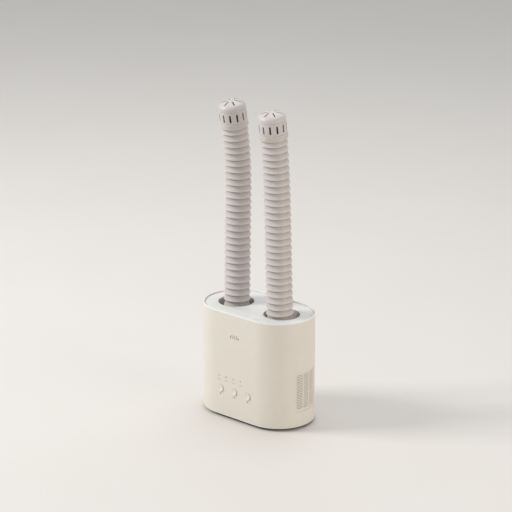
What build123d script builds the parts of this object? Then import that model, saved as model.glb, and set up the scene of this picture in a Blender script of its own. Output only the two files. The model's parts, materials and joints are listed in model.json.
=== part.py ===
from build123d import *
import os
from math import cos, radians, sin

# Boot dryer: a free-standing casing with two round wells in its top. A ribbed hose stands in
# each well, stretches and bends, and ends in a slotted nozzle. Inside, a blower draws air
# through the end grilles and pushes it past two heaters into the hoses.
# Millimetres. +Z is up, the buttons face -Y, and the origin is on the floor under the middle.

# ---------------------------------------------------------------- driving sizes
# casing
BODY_LENGTH = 216.0
BODY_DEPTH = 125.0
SHELL_BOTTOM = 5.0
SHELL_TOP = 195.5
SHELL_WALL = 2.5
RIM_RADIUS = 1.3
HEM_RADIUS = 0.9

# top deck, let into the casing's rim
DECK_THICKNESS = 2.5
DECK_DROP = 2.4
DECK_GAP = 0.3
DECK_EDGE = 0.8
LEDGE_WIDTH = 2.0
LEDGE_HEIGHT = 2.5

# wells
WELL_CLEARANCE = 8.0
WELL_SPACING = 38.6
WELL_WALL = 1.6
WELL_FLOOR_TOP = 60.0
WELL_FLOOR_THICKNESS = 2.0
WELL_FLANGE = 5.0
WELL_RIBS = 28
WELL_RIB = (1.8, 1.4)
WELL_RIB_STOP = 4.0

# base
TRAY_BOTTOM = 3.0
TRAY_TOP = 9.5
TRAY_WALL = 2.5
TRAY_INSET = 10.0
TRAY_GAP = 0.4
FOOT_RADIUS = 9.0
FOOT_STUD_RADIUS = 3.0
FOOT_INSET = 24.9
FOOT_EDGE = 0.8

# screws
BASE_SCREW_RADIUS = 1.5
BASE_SCREW_HEAD = 3.0
BASE_SCREW_LENGTH = 15.0
SCREW_HEAD_HEIGHT = 1.7
SCREW_CROSS = (3.6, 0.7)
SCREW_END = 1.0
BOSS_RADIUS = 5.0
BOSS_TOP = 32.0
BOSS_ANGLE = 63.0
BOSS_SETBACK = 4.0
BOARD_SCREW_RADIUS = 1.1
BOARD_SCREW_HEAD = 2.2
BOARD_SCREW_HEAD_HEIGHT = 1.4
BOARD_SCREW_LENGTH = 6.0
SCREW_CLEARANCE = 0.3

# air duct under the wells
DUCT_MARGIN = 10.5
DUCT_SIDE_CHANNEL = 16.5
DUCT_POST_RADIUS = 4.0
DUCT_WALL = 1.8
DUCT_BOTTOM = 20.0
DUCT_TOP = 46.0
DUCT_COVER = 2.0
RISER_RADIUS = 22.0
RISER_WALL = 2.0
RISER_TOP = 62.0
INLET_RADIUS = 22.0
INLET_LIP = 1.5

# blower
FAN_BLADES = 30
FAN_BLADE_DEPTH = 6.5
FAN_BLADE_THICKNESS = 0.9
FAN_BLADE_TRIM = 0.4
FAN_BLADE_ANGLE = 28
FAN_RING = 1.5
FAN_RING_WIDTH = 3.0
FAN_CLEARANCE = 1.0
FAN_BOTTOM = 24.0
FAN_TOP = 42.0
HUB_RADIUS = 6.0
HUB_RISE = 6.0
SHAFT_RADIUS = 1.6
SHAFT_CLEARANCE = 0.05
MOTOR_RADIUS = 13.0
MOTOR_HEIGHT = 26.0
MOTOR_PLATE = 2.0
MOTOR_EDGE = 1.5
MOTOR_BEARING = 2.0
BEARING_RADIUS = 4.0
MOTOR_EAR = 4.0
MOTOR_SCREW_Y = 18.0

# heaters
HEATER_HEIGHT = 10.0
HEATER_SEAT = 2.0
HEATER_CLEARANCE = 0.2
HEATER_RIM = 1.6
HEATER_FINS = 11
HEATER_FIN = 0.8
HEATER_BAR = 2.6
CUTOUT_STEPS = ((6.0, 3.0), (4.2, 3.0))

# intake grilles at the two ends
GRILLE_BOTTOM = 32.0
GRILLE_TOP = 105.0
GRILLE_WIDTH = 49.0
GRILLE_CORNER = 3.0
GRILLE_GAP = 0.25
GRILLE_RECESS = 0.4
GRILLE_LIP = 2.0
GRILLE_FRAME = 1.2
GRILLE_MARGIN = 4.0
SLOT_PITCH = 3.0
SLOT_HEIGHT = 0.9
SLOT_COLUMNS = 3
SLOT_RIB = 2.0
FILTER_THICKNESS = 2.5

# controls on the front
BUTTON_RADIUS = 6.3
BUTTON_PITCH = 31.0
MIDDLE_BUTTON_X = -2.0
BUTTON_Z = 54.0
BUTTON_PROUD = 1.8
BUTTON_GAP = 0.3
BUTTON_TRAVEL = 1.5
BUTTON_EDGE = 1.1
BUTTON_FLANGE = 1.5
BUTTON_FLANGE_THICKNESS = 1.2
BUTTON_NUB_RADIUS = 2.0
BUTTON_NUB_HEIGHT = 0.6
LIGHT_COUNT = 4
LIGHT_PITCH = 16.3
LIGHT_FIRST_X = -36.3
LIGHT_Z = 77.0
LIGHT_RADIUS = 1.2
LIGHT_GAP = 0.1
LIGHT_FLANGE = 1.0

# boards
BOARD_THICKNESS = 1.6
BOARD_CORNER = 2.0
FRONT_BOARD = (96.0, 48.0)
FRONT_BOARD_Z = 66.5
BACK_BOARD = (72.0, 50.0)
BACK_BOARD_Z = 89.0
POST_LENGTH = 8.0
POST_RADIUS = 3.0
POST_INSET = 5.0
RIBBON = (12.0, 1.2)
RIBBON_EDGE = 6.0
SWITCH_SIDE = 6.2
SWITCH_CORNER = 0.6
SWITCH_PLUNGER_RADIUS = 1.6
SWITCH_PLUNGER_RISE = 0.7
SWITCH_GAP = 0.2
LED_SIZE = (3.2, 1.6)
LED_HEIGHT = 1.1
LED_GAP = 0.3
# places on the power board, from its centre, and sizes
TRANSFORMER = ((-14.0, -8.0), (18.0, 12.0))
RELAY = ((12.0, -9.0), (20.0, 9.0))
CAPACITOR = ((8.0, 12.0), 3.4)
POWER_PARTS_GAP = 2.0

# mains cord gland at the back
GLAND_Z = 24.0
GLAND_BORE = 3.5
GLAND_NECK = 6.0
GLAND_FLANGE = 8.5
GLAND_PROUD = 1.8
GLAND_EDGE = 0.9
GLAND_NUT = 1.6

# hoses
RIB_PITCH = 11.6
RIB_GROOVE = 0.6
RIB_CREST_START = 2.6
RIB_CREST_END = 4.4
RIB_CREST_DROP = 0.2
HOSE_CREST = 23.2
HOSE_VALLEY = 20.2
HOSE_WALL = 1.0
HOSE_BASE = 68.0
STRETCH_RIBS = 29
BEND_RIBS = 3
SECTION_OVERRUN = 2.0
# how far each hose stands off vertical, towards the front, in degrees: its stretching part,
# its three bending parts, and its nozzle
HOSE_LEANS = {"left": (-1.0, 1.5, 5.0, 8.5, 11.0), "right": (2.2, 3.5, 5.0, 6.5, 8.0)}
CUFF_WALL = 2.7
CUFF_GAP = 1.0
CUFF_COLLAR = 6.0

# nozzles
NOZZLE_RADIUS = 23.4
NOZZLE_WALL = 2.0
COLLAR_RADIUS = 24.4
COLLAR_HEIGHT = 9.0
COLLAR_EDGE = 1.0
BARREL_HEIGHT = 22.0
CAP_HEIGHT = 14.0
CAP_SKIRT = 3.0
CAP_SHOULDER = (0.74, 3.2)
CAP_SLOT_WIDTH = 2.6
NOZZLE_SLOTS = 12
NOZZLE_SLOT_WIDTH = 3.2
NOZZLE_SLOT_HEIGHT = 14.0

# ---------------------------------------------------------------- worked-out places
END_RADIUS = BODY_DEPTH / 2
END_CENTRE = BODY_LENGTH / 2 - END_RADIUS
INNER_RADIUS = END_RADIUS - SHELL_WALL
DECK_TOP = SHELL_TOP - DECK_DROP
DECK_BOTTOM = DECK_TOP - DECK_THICKNESS
RISER_OUTER = RISER_RADIUS + RISER_WALL
CUFF_INNER = HOSE_CREST + CUFF_GAP
CUFF_OUTER = max(CUFF_INNER, RISER_OUTER + SCREW_CLEARANCE) + CUFF_WALL
WELL_RADIUS = max(HOSE_CREST + WELL_CLEARANCE, CUFF_OUTER + WELL_RIB[0])
WELL_X = WELL_RADIUS + WELL_WALL + WELL_SPACING / 2
DUCT_COVER_TOP = DUCT_TOP + DUCT_COVER
FAN_BLADE_INNER = INLET_RADIUS + INLET_LIP + FAN_CLEARANCE
FAN_RADIUS = FAN_BLADE_INNER + FAN_BLADE_DEPTH
DUCT_DEPTH = BODY_DEPTH - 2 * DUCT_SIDE_CHANNEL
DUCT_LENGTH = 2 * (WELL_X + RISER_OUTER + DUCT_MARGIN)
HEATER_BOTTOM = DUCT_COVER_TOP + HEATER_SEAT
BOSS_REACH = INNER_RADIUS - BOSS_SETBACK
BUTTON_XS = [MIDDLE_BUTTON_X + BUTTON_PITCH * i for i in (-1, 0, 1)]
LIGHT_XS = [LIGHT_FIRST_X + LIGHT_PITCH * i for i in range(LIGHT_COUNT)]
SIDES = {"left": -1, "right": 1}
# how far a switch's plunger stands off the control board, so that a pressed button just misses it
SWITCH_TOP = (POST_LENGTH - BUTTON_GAP - BUTTON_FLANGE_THICKNESS - BUTTON_NUB_HEIGHT
              - BUTTON_TRAVEL - SWITCH_GAP)

os.makedirs("parts", exist_ok=True)


def save(piece, name):
    """Labels a finished piece and writes it under the same name."""
    piece.part.label = name
    export_step(piece.part, f"parts/{name}.step")


def casing_outline(inset, mode=Mode.ADD):
    """The casing's round-ended outline, taken in all round by inset."""
    SlotOverall(BODY_LENGTH - 2 * inset, BODY_DEPTH - 2 * inset, mode=mode)


def board_corners(board, height):
    """The four fixing points of a board, as X and Z pairs."""
    across = board[0] / 2 - POST_INSET
    up = board[1] / 2 - POST_INSET
    return [(x, height + z) for x in (-across, across) for z in (-up, up)]


BOSS_POINTS = [
    (sx * (END_CENTRE + BOSS_REACH * cos(radians(BOSS_ANGLE))), sy * BOSS_REACH * sin(radians(BOSS_ANGLE)))
    for sx in (-1, 1)
    for sy in (-1, 1)
]
FOOT_POINTS = [
    (sx * (END_CENTRE + END_RADIUS / 3), sy * (END_RADIUS - TRAY_INSET - FOOT_INSET))
    for sx in (-1, 1)
    for sy in (-1, 1)
]
DUCT_POSTS = [(sx * WELL_X, sy * DUCT_DEPTH / 4) for sx in (-1, 1) for sy in (-1, 1)]
FRONT_POSTS = board_corners(FRONT_BOARD, FRONT_BOARD_Z)
BACK_POSTS = board_corners(BACK_BOARD, BACK_BOARD_Z)
FRONT_FACE = Plane.XZ.offset(END_RADIUS)
FRONT_INNER = Plane.XZ.offset(INNER_RADIUS)
BACK_FACE = Plane.XZ.offset(-END_RADIUS)
BACK_INNER = Plane.XZ.offset(-INNER_RADIUS)
FRONT_BOARD_FACE = Plane.XZ.offset(INNER_RADIUS - POST_LENGTH)
BACK_BOARD_FACE = Plane.XZ.offset(-(INNER_RADIUS - POST_LENGTH))
MOTOR_SCREWS = [(0, -MOTOR_SCREW_Y), (0, MOTOR_SCREW_Y)]

# ---------------------------------------------------------------- casing
with BuildPart() as body_shell:
    with BuildSketch(Plane.XY.offset(SHELL_BOTTOM)):
        casing_outline(0)
    extrude(amount=SHELL_TOP - SHELL_BOTTOM)
    fillet(body_shell.edges().group_by(Axis.Z)[-1], radius=RIM_RADIUS)
    fillet(body_shell.edges().group_by(Axis.Z)[0], radius=HEM_RADIUS)
    with BuildSketch(Plane.XY.offset(SHELL_BOTTOM)):
        casing_outline(SHELL_WALL)
    extrude(amount=SHELL_TOP - SHELL_BOTTOM, mode=Mode.SUBTRACT)
    with BuildSketch(Plane.XY.offset(DECK_BOTTOM - LEDGE_HEIGHT)):
        casing_outline(SHELL_WALL / 2)
        casing_outline(SHELL_WALL + LEDGE_WIDTH, mode=Mode.SUBTRACT)
    extrude(amount=LEDGE_HEIGHT)
    with BuildSketch(Plane.XY.offset(TRAY_TOP)):
        with Locations(*BOSS_POINTS):
            Circle(BOSS_RADIUS)
        with BuildSketch(Plane.XY, mode=Mode.INTERSECT):
            casing_outline(SHELL_WALL / 2)
    extrude(amount=BOSS_TOP - TRAY_TOP)
    with BuildSketch(Plane.XY.offset(TRAY_TOP)):
        with Locations(*BOSS_POINTS):
            Circle(BASE_SCREW_RADIUS)
    extrude(amount=BASE_SCREW_LENGTH - TRAY_WALL, mode=Mode.SUBTRACT)
    with BuildSketch(FRONT_INNER):
        with Locations(*FRONT_POSTS):
            Circle(POST_RADIUS)
            Circle(BOARD_SCREW_RADIUS, mode=Mode.SUBTRACT)
    extrude(amount=-POST_LENGTH)
    with BuildSketch(BACK_INNER):
        with Locations(*BACK_POSTS):
            Circle(POST_RADIUS)
            Circle(BOARD_SCREW_RADIUS, mode=Mode.SUBTRACT)
    extrude(amount=POST_LENGTH)
    with BuildSketch(FRONT_FACE):
        with Locations(*[(x, BUTTON_Z) for x in BUTTON_XS]):
            Circle(BUTTON_RADIUS + BUTTON_GAP)
        with Locations(*[(x, LIGHT_Z) for x in LIGHT_XS]):
            Circle(LIGHT_RADIUS + LIGHT_GAP)
    extrude(amount=-2 * SHELL_WALL, mode=Mode.SUBTRACT)
    with BuildSketch(BACK_FACE):
        with Locations((0, GLAND_Z)):
            Circle(GLAND_NECK)
    extrude(amount=2 * SHELL_WALL, mode=Mode.SUBTRACT)
    for side in SIDES.values():
        with BuildSketch(Plane.YZ.offset(side * BODY_LENGTH / 2)):
            with Locations((0, (GRILLE_BOTTOM + GRILLE_TOP) / 2)):
                RectangleRounded(GRILLE_WIDTH, GRILLE_TOP - GRILLE_BOTTOM, GRILLE_CORNER)
        extrude(amount=-side * END_RADIUS / 3, mode=Mode.SUBTRACT)
save(body_shell, "body_shell")

with BuildPart() as top_deck:
    with BuildSketch(Plane.XY.offset(DECK_BOTTOM)):
        casing_outline(SHELL_WALL + DECK_GAP)
        with Locations((-WELL_X, 0), (WELL_X, 0)):
            Circle(WELL_RADIUS, mode=Mode.SUBTRACT)
    extrude(amount=DECK_THICKNESS)
    top_arcs = top_deck.edges().group_by(Axis.Z)[-1].filter_by(GeomType.CIRCLE)
    fillet(top_arcs.group_by(Edge.length)[-1], radius=DECK_EDGE)
save(top_deck, "top_deck")

# ---------------------------------------------------------------- base
with BuildPart() as base_tray:
    with BuildSketch(Plane.XY.offset(TRAY_BOTTOM)):
        casing_outline(TRAY_INSET)
    extrude(amount=TRAY_TOP - TRAY_BOTTOM)
    fillet(base_tray.edges().group_by(Axis.Z)[0], radius=HEM_RADIUS)
    with BuildSketch(Plane.XY.offset(TRAY_TOP - TRAY_WALL)):
        casing_outline(SHELL_WALL + TRAY_GAP)
    extrude(amount=TRAY_WALL)
    with BuildSketch(Plane.XY.offset(TRAY_BOTTOM + TRAY_WALL)):
        casing_outline(TRAY_INSET + TRAY_WALL)
    extrude(amount=TRAY_TOP, mode=Mode.SUBTRACT)
    with BuildSketch(Plane.XY.offset(TRAY_BOTTOM + TRAY_WALL)):
        with Locations(*FOOT_POINTS):
            Circle(FOOT_STUD_RADIUS + TRAY_WALL)
    extrude(amount=TRAY_WALL)
    with BuildSketch(Plane.XY.offset(TRAY_BOTTOM + TRAY_WALL)):
        with Locations(*DUCT_POSTS):
            Circle(DUCT_POST_RADIUS)
    extrude(amount=DUCT_BOTTOM - TRAY_BOTTOM - TRAY_WALL)
    with BuildSketch(Plane.XY.offset(TRAY_BOTTOM)):
        with Locations(*FOOT_POINTS):
            Circle(FOOT_STUD_RADIUS)
    extrude(amount=2 * TRAY_WALL, mode=Mode.SUBTRACT)
    with BuildSketch(Plane.XY.offset(TRAY_TOP - TRAY_WALL)):
        with Locations(*BOSS_POINTS):
            Circle(BASE_SCREW_RADIUS + SCREW_CLEARANCE)
    extrude(amount=TRAY_WALL, mode=Mode.SUBTRACT)
save(base_tray, "base_tray")

with BuildPart() as rubber_feet:
    with BuildSketch(Plane.XY):
        with Locations(*FOOT_POINTS):
            Circle(FOOT_RADIUS)
    extrude(amount=TRAY_BOTTOM)
    fillet(rubber_feet.edges().group_by(Axis.Z)[0], radius=FOOT_EDGE)
    with BuildSketch(Plane.XY.offset(TRAY_BOTTOM)):
        with Locations(*FOOT_POINTS):
            Circle(FOOT_STUD_RADIUS)
    extrude(amount=2 * TRAY_WALL)
save(rubber_feet, "rubber_feet")

with BuildPart() as base_screws:
    head_top = TRAY_TOP - TRAY_WALL
    with BuildSketch(Plane.XY.offset(head_top - SCREW_HEAD_HEIGHT)):
        with Locations(*BOSS_POINTS):
            Circle(BASE_SCREW_HEAD)
    extrude(amount=SCREW_HEAD_HEIGHT)
    with BuildSketch(Plane.XY.offset(head_top)):
        with Locations(*BOSS_POINTS):
            Circle(BASE_SCREW_RADIUS)
    extrude(amount=BASE_SCREW_LENGTH)
    with BuildSketch(Plane.XY.offset(head_top - SCREW_HEAD_HEIGHT)):
        with Locations(*BOSS_POINTS):
            Rectangle(*SCREW_CROSS)
            Rectangle(*SCREW_CROSS, rotation=90)
    extrude(amount=SCREW_HEAD_HEIGHT / 2, mode=Mode.SUBTRACT)
save(base_screws, "base_screws")

# ---------------------------------------------------------------- air duct and blower
with BuildPart() as duct_lower:
    with BuildSketch(Plane.XY.offset(DUCT_BOTTOM)):
        SlotOverall(DUCT_LENGTH, DUCT_DEPTH)
    extrude(amount=DUCT_TOP - DUCT_BOTTOM)
    with BuildSketch(Plane.XY.offset(DUCT_BOTTOM + DUCT_WALL)):
        SlotOverall(DUCT_LENGTH - 2 * DUCT_WALL, DUCT_DEPTH - 2 * DUCT_WALL)
    extrude(amount=DUCT_TOP, mode=Mode.SUBTRACT)
    with BuildSketch(Plane.XY.offset(DUCT_BOTTOM)):
        Circle(INLET_RADIUS + INLET_LIP)
    extrude(amount=FAN_BOTTOM + FAN_CLEARANCE - DUCT_BOTTOM)
    with BuildSketch(Plane.XY.offset(DUCT_BOTTOM)):
        Circle(INLET_RADIUS)
    extrude(amount=DUCT_TOP, mode=Mode.SUBTRACT)
save(duct_lower, "duct_lower")

with BuildPart() as duct_cover:
    with BuildSketch(Plane.XY.offset(DUCT_TOP)):
        SlotOverall(DUCT_LENGTH, DUCT_DEPTH)
    extrude(amount=DUCT_COVER)
    with BuildSketch(Plane.XY.offset(DUCT_COVER_TOP)):
        with Locations((-WELL_X, 0), (WELL_X, 0)):
            Circle(RISER_OUTER)
    extrude(amount=RISER_TOP - DUCT_COVER_TOP)
    with BuildSketch(Plane.XY.offset(HEATER_BOTTOM)):
        with Locations((-WELL_X, 0), (WELL_X, 0)):
            Circle(RISER_RADIUS)
    extrude(amount=RISER_TOP, mode=Mode.SUBTRACT)
    with BuildSketch(Plane.XY.offset(DUCT_TOP)):
        with Locations((-WELL_X, 0), (WELL_X, 0)):
            Circle(RISER_RADIUS - HEATER_SEAT)
        Circle(HUB_RADIUS)
        with Locations(*MOTOR_SCREWS):
            Circle(BASE_SCREW_RADIUS)
    extrude(amount=RISER_TOP, mode=Mode.SUBTRACT)
save(duct_cover, "duct_cover")

with BuildPart() as fan_motor:
    with BuildSketch(Plane.XY.offset(DUCT_COVER_TOP)):
        SlotOverall(2 * (MOTOR_SCREW_Y + MOTOR_EAR), 2 * MOTOR_EAR, rotation=90)
        Circle(MOTOR_RADIUS)
        with Locations(*MOTOR_SCREWS):
            Circle(BASE_SCREW_RADIUS + SCREW_CLEARANCE, mode=Mode.SUBTRACT)
    extrude(amount=MOTOR_PLATE)
    with BuildSketch(Plane.XY.offset(DUCT_COVER_TOP)):
        Circle(MOTOR_RADIUS)
    extrude(amount=MOTOR_HEIGHT)
    fillet(fan_motor.edges().group_by(Axis.Z)[-1], radius=MOTOR_EDGE)
    with BuildSketch(Plane.XY.offset(DUCT_COVER_TOP + MOTOR_HEIGHT)):
        Circle(BEARING_RADIUS)
    extrude(amount=MOTOR_BEARING)
    with BuildSketch(Plane.XY.offset(DUCT_COVER_TOP)):
        Circle(SHAFT_RADIUS + SHAFT_CLEARANCE)
    extrude(amount=MOTOR_HEIGHT + MOTOR_BEARING, mode=Mode.SUBTRACT)
save(fan_motor, "fan_motor")

with BuildPart() as motor_screws:
    with BuildSketch(Plane.XY.offset(DUCT_COVER_TOP + MOTOR_PLATE)):
        with Locations(*MOTOR_SCREWS):
            Circle(BASE_SCREW_HEAD)
    extrude(amount=SCREW_HEAD_HEIGHT)
    with BuildSketch(Plane.XY.offset(DUCT_TOP - SCREW_END)):
        with Locations(*MOTOR_SCREWS):
            Circle(BASE_SCREW_RADIUS)
    extrude(amount=DUCT_COVER + MOTOR_PLATE + SCREW_END)
save(motor_screws, "motor_screws")

with BuildPart() as motor_shaft:
    with BuildSketch(Plane.XY.offset(FAN_BOTTOM + HUB_RISE)):
        Circle(SHAFT_RADIUS)
    extrude(amount=DUCT_COVER_TOP + MOTOR_HEIGHT + 2 * MOTOR_BEARING - FAN_BOTTOM - HUB_RISE)
save(motor_shaft, "motor_shaft")

with BuildPart() as impeller:
    with BuildSketch(Plane.XY.offset(FAN_BOTTOM)):
        Circle(FAN_RADIUS)
        Circle(FAN_RADIUS - FAN_RING_WIDTH, mode=Mode.SUBTRACT)
    extrude(amount=FAN_RING)
    with BuildSketch(Plane.XY.offset(FAN_TOP - FAN_RING)):
        Circle(FAN_RADIUS)
    extrude(amount=FAN_RING)
    with BuildSketch(Plane.XY.offset(FAN_BOTTOM)):
        with PolarLocations((FAN_RADIUS + FAN_BLADE_INNER) / 2, FAN_BLADES):
            Rectangle(FAN_BLADE_DEPTH - FAN_BLADE_TRIM, FAN_BLADE_THICKNESS, rotation=FAN_BLADE_ANGLE)
    extrude(amount=FAN_TOP - FAN_BOTTOM - FAN_RING / 2)
    with BuildSketch(Plane.XY.offset(FAN_BOTTOM + HUB_RISE)):
        Circle(HUB_RADIUS)
    extrude(amount=FAN_TOP - FAN_BOTTOM - HUB_RISE)
    with BuildSketch(Plane.XY.offset(FAN_BOTTOM)):
        Circle(SHAFT_RADIUS)
    extrude(amount=FAN_TOP, mode=Mode.SUBTRACT)
save(impeller, "impeller")

with BuildPart() as thermal_cutouts:
    step_foot = DUCT_COVER_TOP
    for step_radius, step_height in CUTOUT_STEPS:
        with BuildSketch(Plane.XY.offset(step_foot)):
            with Locations((-WELL_X / 2, DUCT_DEPTH / 3), (WELL_X / 2, DUCT_DEPTH / 3)):
                Circle(step_radius)
        extrude(amount=step_height)
        step_foot += step_height
save(thermal_cutouts, "thermal_cutouts")

# ---------------------------------------------------------------- controls
for name, x in zip(("power_button", "mode_button", "timer_button"), BUTTON_XS):
    with BuildPart() as button:
        with BuildSketch(Plane.XZ.offset(END_RADIUS + BUTTON_PROUD)):
            with Locations((x, BUTTON_Z)):
                Circle(BUTTON_RADIUS)
        extrude(amount=-(BUTTON_PROUD + SHELL_WALL + BUTTON_GAP))
        fillet(button.edges().group_by(Axis.Y)[0], radius=BUTTON_EDGE)
        with BuildSketch(Plane.XZ.offset(INNER_RADIUS - BUTTON_GAP)):
            with Locations((x, BUTTON_Z)):
                Circle(BUTTON_RADIUS + BUTTON_FLANGE)
        extrude(amount=-BUTTON_FLANGE_THICKNESS)
        with BuildSketch(Plane.XZ.offset(INNER_RADIUS - BUTTON_GAP - BUTTON_FLANGE_THICKNESS)):
            with Locations((x, BUTTON_Z)):
                Circle(BUTTON_NUB_RADIUS)
        extrude(amount=-BUTTON_NUB_HEIGHT)
    save(button, name)

with BuildPart() as indicator_light_pipes:
    with BuildSketch(FRONT_FACE):
        with Locations(*[(x, LIGHT_Z) for x in LIGHT_XS]):
            Circle(LIGHT_RADIUS)
    extrude(amount=-(SHELL_WALL + POST_LENGTH - LED_HEIGHT - LED_GAP))
    with BuildSketch(Plane.XZ.offset(INNER_RADIUS - LIGHT_GAP)):
        with Locations(*[(x, LIGHT_Z) for x in LIGHT_XS]):
            Circle(2 * LIGHT_RADIUS)
    extrude(amount=-LIGHT_FLANGE)
save(indicator_light_pipes, "indicator_light_pipes")

with BuildPart() as control_board:
    with BuildSketch(FRONT_BOARD_FACE):
        with Locations((0, FRONT_BOARD_Z)):
            RectangleRounded(*FRONT_BOARD, BOARD_CORNER)
        with Locations(*FRONT_POSTS):
            Circle(BOARD_SCREW_RADIUS + SCREW_CLEARANCE, mode=Mode.SUBTRACT)
    extrude(amount=-BOARD_THICKNESS)
save(control_board, "control_board")

with BuildPart() as button_switches:
    with BuildSketch(FRONT_BOARD_FACE):
        with Locations(*[(x, BUTTON_Z) for x in BUTTON_XS]):
            RectangleRounded(SWITCH_SIDE, SWITCH_SIDE, SWITCH_CORNER)
    extrude(amount=SWITCH_TOP - SWITCH_PLUNGER_RISE)
    with BuildSketch(FRONT_BOARD_FACE):
        with Locations(*[(x, BUTTON_Z) for x in BUTTON_XS]):
            Circle(SWITCH_PLUNGER_RADIUS)
    extrude(amount=SWITCH_TOP)
save(button_switches, "button_switches")

with BuildPart() as indicator_leds:
    with BuildSketch(FRONT_BOARD_FACE):
        with Locations(*[(x, LIGHT_Z) for x in LIGHT_XS]):
            Rectangle(*LED_SIZE)
    extrude(amount=LED_HEIGHT)
save(indicator_leds, "indicator_leds")

with BuildPart() as power_board:
    with BuildSketch(BACK_BOARD_FACE):
        with Locations((0, BACK_BOARD_Z)):
            RectangleRounded(*BACK_BOARD, BOARD_CORNER)
        with Locations(*BACK_POSTS):
            Circle(BOARD_SCREW_RADIUS + SCREW_CLEARANCE, mode=Mode.SUBTRACT)
    extrude(amount=BOARD_THICKNESS)
save(power_board, "power_board")

with BuildPart() as power_board_parts:
    with BuildSketch(BACK_BOARD_FACE):
        for (x, up), size in (TRANSFORMER, RELAY):
            with Locations((x, BACK_BOARD_Z + up)):
                Rectangle(*size)
        (x, up), can_radius = CAPACITOR
        with Locations((x, BACK_BOARD_Z + up)):
            Circle(can_radius)
    extrude(amount=-(POST_LENGTH - POWER_PARTS_GAP))
save(power_board_parts, "power_board_parts")

with BuildPart() as board_screws:
    with BuildSketch(FRONT_BOARD_FACE.offset(-BOARD_THICKNESS)):
        with Locations(*FRONT_POSTS):
            Circle(BOARD_SCREW_HEAD)
    extrude(amount=-BOARD_SCREW_HEAD_HEIGHT)
    with BuildSketch(FRONT_BOARD_FACE.offset(-BOARD_THICKNESS)):
        with Locations(*FRONT_POSTS):
            Circle(BOARD_SCREW_RADIUS)
    extrude(amount=BOARD_SCREW_LENGTH)
    with BuildSketch(BACK_BOARD_FACE.offset(BOARD_THICKNESS)):
        with Locations(*BACK_POSTS):
            Circle(BOARD_SCREW_HEAD)
    extrude(amount=BOARD_SCREW_HEAD_HEIGHT)
    with BuildSketch(BACK_BOARD_FACE.offset(BOARD_THICKNESS)):
        with Locations(*BACK_POSTS):
            Circle(BOARD_SCREW_RADIUS)
    extrude(amount=-BOARD_SCREW_LENGTH)
save(board_screws, "board_screws")

with BuildPart() as board_ribbon_cable:
    with BuildSketch(FRONT_BOARD_FACE.offset(-BOARD_THICKNESS)):
        with Locations((0, FRONT_BOARD_Z + FRONT_BOARD[1] / 2 - RIBBON_EDGE)):
            Rectangle(*RIBBON)
    extrude(amount=-2 * (INNER_RADIUS - POST_LENGTH - BOARD_THICKNESS))
save(board_ribbon_cable, "board_ribbon_cable")

with BuildPart() as cord_gland:
    with BuildSketch(Plane.XZ.offset(-(END_RADIUS + GLAND_PROUD))):
        with Locations((0, GLAND_Z)):
            Circle(GLAND_FLANGE)
    extrude(amount=GLAND_PROUD)
    fillet(cord_gland.edges().group_by(Axis.Y)[-1], radius=GLAND_EDGE)
    with BuildSketch(BACK_FACE):
        with Locations((0, GLAND_Z)):
            Circle(GLAND_NECK)
    extrude(amount=SHELL_WALL)
    with BuildSketch(BACK_INNER):
        with Locations((0, GLAND_Z)):
            Circle(GLAND_FLANGE)
    extrude(amount=GLAND_NUT)
    with BuildSketch(Plane.XZ.offset(-(END_RADIUS + GLAND_PROUD))):
        with Locations((0, GLAND_Z)):
            Circle(GLAND_BORE)
    extrude(amount=4 * SHELL_WALL, mode=Mode.SUBTRACT)
save(cord_gland, "cord_gland")

# ---------------------------------------------------------------- intake grilles and filters


def end_band(side, outer, inner, width, bottom, top):
    """A piece of the casing's round end: between two radii, within a width and two heights."""
    with BuildPart() as band:
        with BuildSketch(Plane.XY.offset(bottom)):
            with Locations((side * END_CENTRE, 0)):
                Circle(outer)
                Circle(inner, mode=Mode.SUBTRACT)
            with Locations((side * (END_CENTRE + outer), 0)):
                Rectangle(outer, width, mode=Mode.INTERSECT)
        extrude(amount=top - bottom)
    return band


SLOT_ROWS = int((GRILLE_TOP - GRILLE_BOTTOM - 2 * GRILLE_MARGIN) // SLOT_PITCH)
SLOT_WIDTH = (GRILLE_WIDTH - 2 * GRILLE_MARGIN - (SLOT_COLUMNS - 1) * SLOT_RIB) / SLOT_COLUMNS

for name, side in SIDES.items():
    panel_back = INNER_RADIUS - GRILLE_GAP
    frame_back = panel_back - GRILLE_FRAME
    panel = end_band(side, END_RADIUS - GRILLE_RECESS, panel_back, GRILLE_WIDTH - 2 * GRILLE_GAP,
                     GRILLE_BOTTOM + GRILLE_GAP, GRILLE_TOP - GRILLE_GAP)
    frame = end_band(side, panel_back, frame_back, GRILLE_WIDTH + 2 * GRILLE_LIP,
                     GRILLE_BOTTOM - GRILLE_LIP, GRILLE_TOP + GRILLE_LIP)
    with BuildPart() as intake_grille:
        add(panel.part)
        fillet(intake_grille.edges().filter_by(Axis.X), radius=GRILLE_CORNER - GRILLE_GAP)
        add(frame.part)
        with BuildSketch(Plane.YZ.offset(side * BODY_LENGTH / 2)):
            with Locations((0, (GRILLE_BOTTOM + GRILLE_TOP) / 2)):
                with GridLocations(SLOT_WIDTH + SLOT_RIB, SLOT_PITCH, SLOT_COLUMNS, SLOT_ROWS):
                    Rectangle(SLOT_WIDTH, SLOT_HEIGHT)
        extrude(amount=-side * END_RADIUS / 3, mode=Mode.SUBTRACT)
    save(intake_grille, f"{name}_intake_grille")

    dust_filter = end_band(side, frame_back, frame_back - FILTER_THICKNESS, GRILLE_WIDTH,
                           GRILLE_BOTTOM, GRILLE_TOP)
    save(dust_filter, f"{name}_dust_filter")

# ---------------------------------------------------------------- wells, heaters, hoses, nozzles


def lean_direction(angle):
    """A unit vector that leans from +Z towards the front by an angle in degrees."""
    return Vector(0, -sin(radians(angle)), cos(radians(angle)))


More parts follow.
